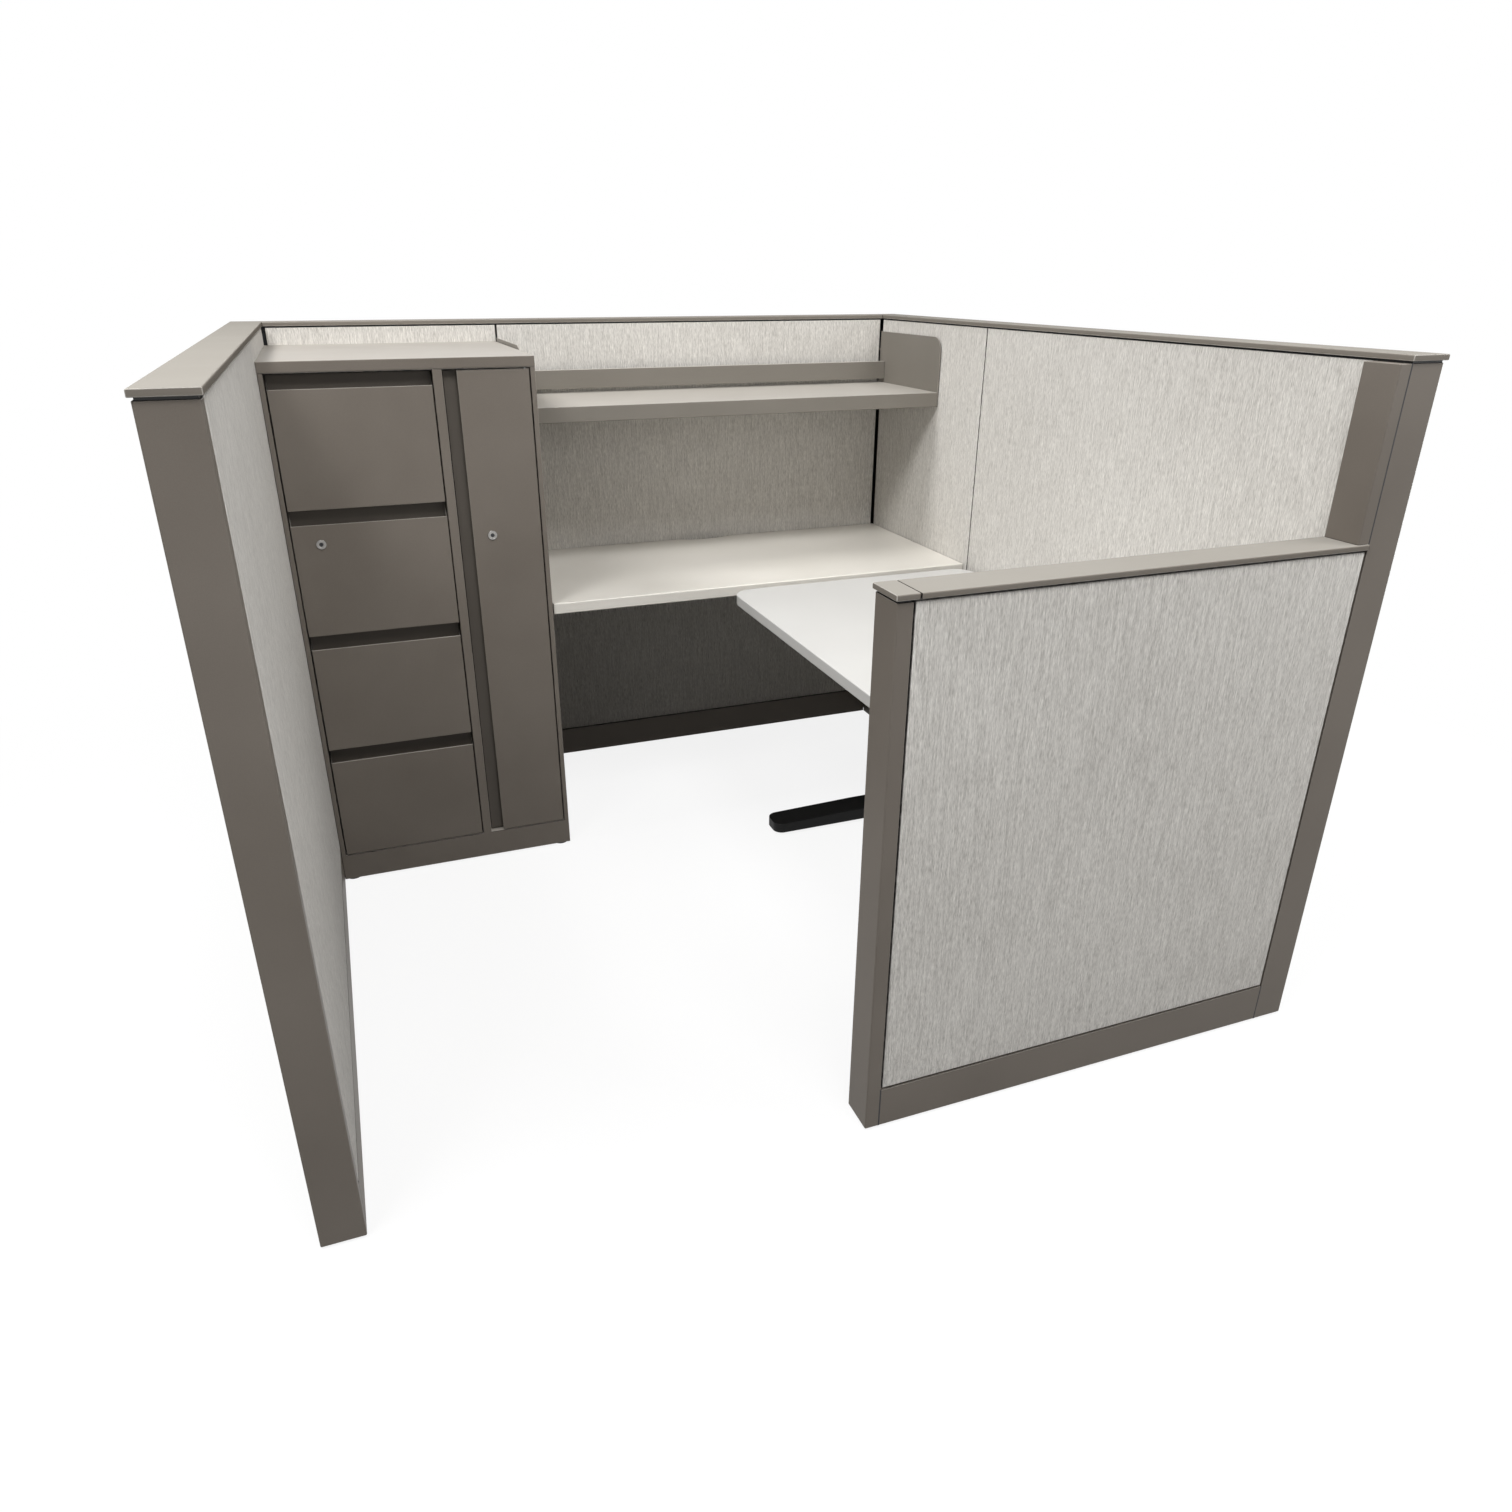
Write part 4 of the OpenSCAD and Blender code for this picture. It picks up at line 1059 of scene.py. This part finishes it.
@dataclass
class LockPlugs:
    """The turning plug inside each lock's rim, with a dark ring round it and a dark bar for its keyway:
    painted shade in the groove and the slot.
    """

    groove_radius: float = 4.8 * MM
    plug_radius: float = 3.9 * MM
    plug_height: float = 0.7 * MM
    plug_rounding: float = 0.2 * MM
    keyway: tuple[float, float] = (1.1 * MM, 5.2 * MM)
    keyway_height: float = 0.15 * MM
    keyway_rounding: float = 0.1 * MM
    before: float = 10 * MM

    def build(self) -> None:
        """Builds the ring of painted shade, the plug and the bar of painted shade for its keyway in both
        locks.
        """
        for node in ("drawer_lock", "door_lock"):
            low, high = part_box(node)
            middle = Vector(((low.x + high.x) / 2, low.y - self.before, high.z - (high.x - low.x) / 2))
            beside = middle + Vector(((self.groove_radius + self.plug_radius) / 2, 0, 0))
            floor = Vector((middle.x, Surface(node).under(beside, -FRONT).y, middle.z))
            # A black disc under the plug, whose rim shows as painted shade in the groove, and a black bar
            # on the plug's face as painted shade for the keyway.
            groove_shade = bmesh.new()
            add_disc(groove_shade, floor, FRONT, self.groove_radius, self.plug_height / 3)
            across, along = self.keyway
            half = Vector((across / 2, 0, along / 2))
            face = floor + FRONT * self.plug_height
            add_bar(groove_shade, face - half + FRONT * self.keyway_height, face + half, self.keyway_rounding)
            add_detail(groove_shade, f"{node}_ring", NODE_BODIES[node], Slot.GLIDE_PLASTIC)
            plug = bmesh.new()
            add_disc(plug, floor, FRONT, self.plug_radius, self.plug_height, self.plug_rounding)
            add_detail(plug, f"{node}_plug", NODE_BODIES[node], Slot.FRAME_ZINC)


@dataclass
class CapShadePads:
    """Dark pads in the reveal between the upright trims and the caps over them: painted shade where the
    reveal is dark.
    """

    inset: float = 3 * MM
    rounding: float = 0.4 * MM
    tallest: float = 16 * MM

    def build(self) -> None:
        """Lays a pad of painted shade on each trim and each corner cover, up to the cap over it."""
        bm = bmesh.new()
        caps = [Surface(cap) for cap in ("left_cap", "back_cap", "right_cap", "low_cap", "low_cap_end")]
        inset = Vector((self.inset, self.inset, 0))
        for node in ("end_trims", "height_trim", "corner_covers"):
            for low, high in solids_of(node):
                start = Vector(((low.x + high.x) / 2, (low.y + high.y) / 2, high.z))
                found = [cap.under(start, UP).z for cap in caps]
                under = min((z for z in found if z > high.z), default=high.z)
                if high.z < under < high.z + self.tallest:
                    foot, head = Vector((low.x, low.y, high.z)), Vector((high.x, high.y, under))
                    add_bar(bm, foot + inset, head - inset, self.rounding)
        add_detail(bm, "cap_shade_pads", "root", Slot.GLIDE_PLASTIC)


@dataclass
class JointShadeStrips:
    """Dark strips in the upright joints of the covers, on the outside of the walls: painted shade where the
    joints are dark.
    """

    width: float = 3 * MM
    proud: float = 0.15 * MM
    depth: float = 2 * MM
    rounding: float = 0.1 * MM

    def shade_strip(self, bm: BMesh, place: Vector, thin: int, top: float) -> None:
        """Adds one strip of painted shade.

        Args:
            bm: The mesh that it joins.
            place: The joint's foot, on the covers' face.
            thin: The axis across the wall, 0 or 1.
            top: The height of the joint's upper end.
        """
        out = outward(place, thin)
        side = Vector((out.y, out.x, 0)) * self.width / 2
        head = place - out * self.depth + side
        head.z = top
        add_bar(bm, *corners_of([place + out * self.proud - side, head]), self.rounding)

    def build(self) -> None:
        """Lays a strip of painted shade at both ends of each outer base cover, and one beside the height
        trim.
        """
        bm = bmesh.new()
        low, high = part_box("height_trim")
        self.shade_strip(bm, Vector((high.x, low.y, low.z)), 1, high.z)
        for node, outer in (("low_base_covers", "low_tile_out"), ("tall_base_covers", "tall_tiles_out")):
            outside = max(abs(value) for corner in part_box(outer) for value in corner.xy)
            for low, high in solids_of(node):
                thin = thin_axis(low, high)
                face = max(low[thin], high[thin], key=abs)
                if abs(face) > outside - self.depth:
                    for end in (low, high):
                        place = Vector((end.x, end.y, low.z))
                        place[thin] = face
                        self.shade_strip(bm, place, thin, high.z)
        add_detail(bm, "joint_shade_strips", "root", Slot.GLIDE_PLASTIC)


@dataclass
class Screws:
    """Pan-head screws with a cross, seated where a steel part is fastened to a board over it."""

    radius: float = 4.6 * MM
    height: float = 2.4 * MM
    dome: float = 1.3 * MM
    sides: int = 20
    cross: float = 1.1 * MM
    cross_shares: tuple[float, float] = (0.5, 1.5)
    cross_height: float = 0.1 * MM
    below: float = 5 * MM
    bracket_edge: float = 9 * MM
    bracket_shares: tuple[float, ...] = (0.3, 0.5, 0.7, 0.9)
    head_ends: tuple[float, float] = (40 * MM, 90 * MM)
    head_side: float = 22 * MM

    def head(self, bm: BMesh, place: Vector) -> None:
        """Adds one head, which faces down.

        Args:
            bm: The mesh that it joins.
            place: Where it sits.
        """
        add_disc(bm, place, -UP, self.radius, self.height, self.dome, self.sides)
        face = place - UP * self.height
        for across, along in (self.cross_shares, self.cross_shares[::-1]):
            half = Vector((self.cross * across, self.cross * along, self.cross_height))
            add_bar(bm, face - half, face + half, self.cross_height / 2)

    def seat(self, node: str, name: str, body: str, places: list[Vector]) -> None:
        """Builds a piece of the heads on a node's underside.

        Args:
            node: The node.
            name: The piece's name.
            body: The body that it rides with.
            places: A place below each head.
        """
        underside = Surface(node)
        bm = bmesh.new()
        for place in places:
            self.head(bm, underside.under(place, UP))
        add_detail(bm, name, body, Slot.SLIDE_ZINC)

    def build(self) -> None:
        """Seats screws under the worksurface's brackets and under the desk's cross heads."""
        low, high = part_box("worksurface")
        places = []
        for foot, top in solids_of("worksurface_brackets"):
            edge = top.x - self.bracket_edge if (low.x + high.x) / 2 > top.x else foot.x + self.bracket_edge
            for share in self.bracket_shares:
                places.append(Vector((edge, low.y + (top.y - low.y) * share, foot.z)))
        self.seat("worksurface_brackets", "bracket_screws", "root", places)
        low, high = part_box("desk_frame")
        outer, inner = self.head_ends
        places = [Vector((across, (foot.y + top.y) / 2 + side, low.z - self.below))
                  for foot, top in solids_of("leg_inner_tubes")
                  for across in (low.x + outer, low.x + inner, high.x - inner, high.x - outer)
                  for side in (-self.head_side, self.head_side)]
        self.seat("desk_frame", "desk_frame_screws", "desk", places)


@dataclass
class LiftDetails:
    """The drive's details: clamping bands and end caps on the motors, ports and ribs on the control box."""

    band: float = 7 * MM
    band_shares: tuple[float, float] = (0.12, 0.5)
    band_rounding: float = 0.6 * MM
    cap_share: float = 0.7
    cap_height: float = 2.5 * MM
    cap_rounding: float = 1.5 * MM
    sides: int = 48
    before: float = 10 * MM
    proud: float = 0.9 * MM
    port: tuple[float, float] = (15 * MM, 10 * MM)
    port_rounding: float = 0.3 * MM
    ports: int = 4
    ribs: int = 12
    rib_inset: float = 12 * MM
    rib_height: float = 1.5 * MM
    rib_rounding: float = 0.4 * MM
    arrow_share: float = 0.32
    arrow_taper: float = 0.85
    arrow_height: float = 0.4 * MM

    def motor_bands(self) -> None:
        """Builds two bands and a domed end cap on each motor."""
        bm = bmesh.new()
        motors = Surface("lift_motors")
        for low, high in solids_of("lift_motors"):
            middle = (low + high) / 2
            start = Vector((low.x - self.before, middle.y, low.z + self.band))
            side = motors.under(start, Vector((1, 0, 0)))
            radius = middle.x - side.x
            for share in self.band_shares:
                at = Vector((middle.x, middle.y, low.z + (high.z - low.z) * share + self.band))
                add_disc(bm, at, -UP, radius + self.proud, self.band, self.band_rounding, self.sides)
            add_disc(bm, Vector((middle.x, middle.y, low.z)), -UP, radius * self.cap_share, self.cap_height,
                     self.cap_rounding, self.sides)
        add_detail(bm, "motor_bands", "desk", Slot.HOUSING_PLASTIC)

    def control_ports(self) -> None:
        """Builds the row of framed ports on the control box's user side, and the ribs under it."""
        low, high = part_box("control_box")
        wide, tall = self.port[0] / 2, self.port[1] / 2
        bm = bmesh.new()
        step = (high.y - low.y) / (self.ports + 1)
        for index in range(self.ports):
            middle = Vector((low.x, low.y + step * (index + 1), (low.z + high.z) / 2))
            for edge in (-1, 1):
                for aside, half in ((Vector((0, 0, tall)), Vector((0, wide, self.proud))),
                                    (Vector((0, wide, 0)), Vector((0, self.proud, tall + self.proud)))):
                    at = middle + aside * edge
                    add_bar(bm, at - half - Vector((self.proud, 0, 0)), at + half, self.port_rounding)
        add_detail(bm, "control_box_ports", "desk", Slot.BUTTON_PLASTIC)
        bm = bmesh.new()
        step = (high.y - low.y) / (self.ribs + 1)
        for index in range(self.ribs):
            along = low.y + step * (index + 1)
            add_bar(bm, Vector((low.x + self.rib_inset, along - self.proud, low.z - self.rib_height)),
                    Vector((high.x - self.rib_inset, along + self.proud, low.z)), self.rib_rounding)
        add_detail(bm, "control_box_ribs", "desk", Slot.HOUSING_PLASTIC)

    def arrows(self) -> None:
        """Builds the raised arrow on each of the handset's buttons."""
        facing = Matrix.Rotation(math.radians(-90), 4, "Y")
        for node, angle in (("up_button", 0), ("down_button", 180)):
            low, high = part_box(node)
            middle = Vector((low.x, (low.y + high.y) / 2, (low.z + high.z) / 2))
            size = (high.z - low.z) * self.arrow_share
            placed = Matrix.Translation(middle) @ facing @ Matrix.Rotation(math.radians(angle), 4, "Z")
            bm = bmesh.new()
            bmesh.ops.create_cone(bm, cap_ends=True, segments=3, radius1=size,
                                  radius2=size * self.arrow_taper, depth=self.arrow_height, matrix=placed)
            add_detail(bm, f"{node}_arrow", NODE_BODIES[node], Slot.GLIDE_PLASTIC)

    def build(self) -> None:
        """Builds all of the drive's details."""
        self.motor_bands()
        self.control_ports()
        self.arrows()


@dataclass
class ClothWalls:
    """The tiles of the walls: boards wrapped in cloth, with soft edges, a slight crown and painted shade on
    their turned sides at the seams.
    """

    wrap_radius: float = 2.2 * MM
    wrap_segments: int = 4
    crown: float = 0.8 * MM
    crown_inset: float = 20 * MM
    turned: float = 0.45

    def tile(self, bm: BMesh, low: Vector, high: Vector, way: Vector) -> None:
        """Adds one tile.

        Args:
            bm: The mesh that it joins.
            low: Its lowest corner.
            high: Its highest corner.
            way: The direction of its cloth side.
        """
        verts = add_block(bm, low, high)
        bm.normal_update()
        face = max({face for vert in verts for face in vert.link_faces}, key=lambda f: f.normal.dot(way))
        middle = face.calc_center_median()
        soften(bm, list(face.edges), self.wrap_radius, self.wrap_segments)
        bm.normal_update()
        face = min(bm.faces, key=lambda f: (f.calc_center_median() - middle).length)
        bmesh.ops.inset_region(bm, faces=[face], thickness=self.crown_inset, depth=self.crown)

    def build(self) -> None:
        """Builds the tiles of every wall, inside and outside."""
        for node, slot in NODE_SLOTS.items():
            if slot is not Slot.WALL_FABRIC:
                continue
            bm = bmesh.new()
            seam = bm.faces.layers.float.new(SEAM)
            for low, high in solids_of(node):
                way = outward(low + high, thin_axis(low, high)) * (1 if node.endswith("out") else -1)
                others = set(bm.faces)
                self.tile(bm, low, high, way)
                bm.normal_update()
                for face in set(bm.faces) - others:
                    # Mark the turned sides, which get painted shade at the seams.
                    face[seam] = 1.0 if abs(face.normal.dot(way)) < self.turned else 0.0
            add_piece(bm, f"{node}_cloth", node)


# How far each finish's edges are rounded. The rounded faces carry the painted highlight on free edges and
# the painted shade in seams, so this is also the width of those marks.
EDGE_WIDTHS: dict[Slot, float] = {
    Slot.CAP_PAINT: 1.2 * MM,
    Slot.TRIM_PAINT: 1.6 * MM,
    Slot.WORKSURFACE_LAMINATE: 1.0 * MM,
    Slot.SHELF_PAINT: 0.8 * MM,
    Slot.BRACKET_PAINT: 0.5 * MM,
    Slot.TOWER_PAINT: 1.3 * MM,
    Slot.DRAWER_PAINT: 0.6 * MM,
    Slot.LOCK_CHROME: 0.3 * MM,
    Slot.DESK_LAMINATE: 0.6 * MM,
    Slot.DESK_BLACK: 1.2 * MM,
    Slot.HOUSING_PLASTIC: 2.0 * MM,
    Slot.BUTTON_PLASTIC: 0.8 * MM,
}


@dataclass
class EasedPieces:
    """Sheet metal, boards and caps, whose sharp edges get the small rounding of the real ones."""

    # How near another part must lie for a rounded edge to get painted shade instead of the painted
    # highlight.
    seam_reach: float = 4.6 * MM

    def build(self) -> None:
        """Copies each node of an eased finish, rounds its edges and lets the copy stand for it."""
        neighbours = Neighbours(self.seam_reach)
        for node, slot in NODE_SLOTS.items():
            if slot in EDGE_WIDTHS:
                bm = merged_copy(node)
                ease_edges(bm, node, neighbours, EDGE_WIDTHS[slot])
                add_piece(bm, f"{node}_eased", node)


@dataclass(frozen=True)
class Softbox:
    """A plain soft lamp."""

    name: str
    power: float
    place: Place
    aim: Place = (0.0, 0.0, 0.4)
    size: float = 1.4

    def build(self) -> None:
        """Hangs the lamp and aims it."""
        data = bpy.data.lights.new(self.name, "AREA")
        data.shape = "SQUARE"
        data.size = self.size
        data.energy = self.power
        lamp = add_object(self.name, data)
        lamp.location = self.place
        lamp.rotation_euler = (Vector(self.aim) - Vector(self.place)).to_track_quat("-Z", "Y").to_euler()


@dataclass
class Studio:
    """The plain pale room: a floor, soft lamps, a white surround and the camera."""

    floor_half: float = 9.0
    floor_colour: Colour = srgb(120, 120, 120)
    floor_share: float = 0.14
    shadow_reach: tuple[float, float] = (1.3, 2.8)
    ambient: float = 0.12
    place: Place = (-0.77786, -2.35280, 1.48147)
    turns: tuple[tuple[str, float], ...] = (("Z", -20.657), ("X", -24.192), ("Y", -0.134), ("X", 90.0))
    lens: float = 25.338
    sensor: float = 36.0
    shift: tuple[float, float] = (0.006156, -0.003479)
    lamps: tuple[Softbox, ...] = (
        Softbox("front", 104.0, (0.0, -2.6, 4.8)),
        Softbox("front_left", 92.0, (-2.4, -2.0, 4.8)),
        Softbox("front_right", 66.0, (2.4, -2.0, 4.8)),
        Softbox("left", 117.0, (-2.8, 0.6, 4.8)),
        Softbox("low_left", 9.0, (-2.4, -2.9, 1.7), (0.9, -0.9, 0.9), 1.2),
        Softbox("low_right", 22.0, (2.6, -3.2, 1.8), (0.4, -0.9, 0.5), 1.2),
        Softbox("behind", 34.0, (0.0, 3.6, 0.8), (0.0, 0.9, 0.7), 1.1),
        Softbox("right", 34.0, (3.6, 0.2, 0.8), (0.9, 0.0, 0.7), 1.1),
    )

    def camera(self) -> None:
        """Sets the camera at the photographed view."""
        data = bpy.data.cameras.new("camera")
        data.lens = self.lens
        data.sensor_width = self.sensor
        data.shift_x, data.shift_y = self.shift
        camera = add_object("camera", data)
        placed = Matrix.Translation(self.place)
        for axis, angle in self.turns:
            placed = placed @ Matrix.Rotation(math.radians(angle), 4, axis)
        camera.matrix_world = placed
        bpy.context.scene.camera = camera

    def ground(self) -> bpy.types.Material:
        """Makes the floor's look, white to the camera but for the part's shadow.

        Returns:
            The material.
        """
        material = bpy.data.materials.new("studio_floor")
        tree = Tree(emptied_tree(material))
        straight, seen = tree.seen()
        colour = tree.mix(straight, self.floor_colour, WHITE)
        ground = tree.fill(tree.node("ShaderNodeBsdfDiffuse"), Color=colour)
        glow = tree.fill(tree.node("ShaderNodeEmission"), Strength=1.0)
        away = tree.vector("LENGTH", tree.node("ShaderNodeTexCoord").outputs["Object"])
        share = tree.spread(away, *self.shadow_reach, 1.0 - self.floor_share, 1.0)
        shown = tree.node("ShaderNodeMixShader")
        white = tree.math("MULTIPLY", seen, share)
        for socket, value in zip(shown.inputs, (white, ground["BSDF"], glow["Emission"])):
            tree.feed(socket, value)
        tree.show("ShaderNodeOutputMaterial", shown.outputs[0])
        return material

    def floor(self) -> None:
        """Lays the pale floor."""
        bm = bmesh.new()
        bmesh.ops.create_grid(bm, x_segments=1, y_segments=1, size=self.floor_half)
        add_mesh(bm, "floor", self.ground())

    def surround(self) -> None:
        """Makes the world white to the camera and in gloss, and a low even light elsewhere."""
        world = bpy.data.worlds.new("studio")
        tree = Tree(emptied_tree(world))
        strength = tree.spread(tree.seen()[1], 0.0, 1.0, self.ambient, 1.0)
        sky = tree.fill(tree.node("ShaderNodeBackground"), Color=WHITE, Strength=strength)
        tree.show("ShaderNodeOutputWorld", sky["Background"])
        bpy.context.scene.world = world

    def build(self) -> None:
        """Builds the whole studio."""
        self.camera()
        self.floor()
        self.surround()
        for lamp in self.lamps:
            lamp.build()
        bpy.context.scene.view_settings.view_transform = "Standard"


def dress_nodes() -> None:
    """Gives every node of the frame its finish, also those that a piece stands for."""
    for node, piece in frame["nodes"].items():
        piece.data.materials.clear()
        piece.data.materials.append(FINISHES[NODE_SLOTS[node]].material())


def main() -> None:
    """Builds the studio, dresses the frame and makes the pieces in order."""
    logging.basicConfig(level=logging.INFO, format="%(name)s: %(message)s")
    Studio().build()
    dress_nodes()
    ClothWalls().build()
    EasedPieces().build()
    CapShadePads().build()
    JointShadeStrips().build()
    LockPlugs().build()
    Screws().build()
    LiftDetails().build()


if __name__ == "__main__":
    main()
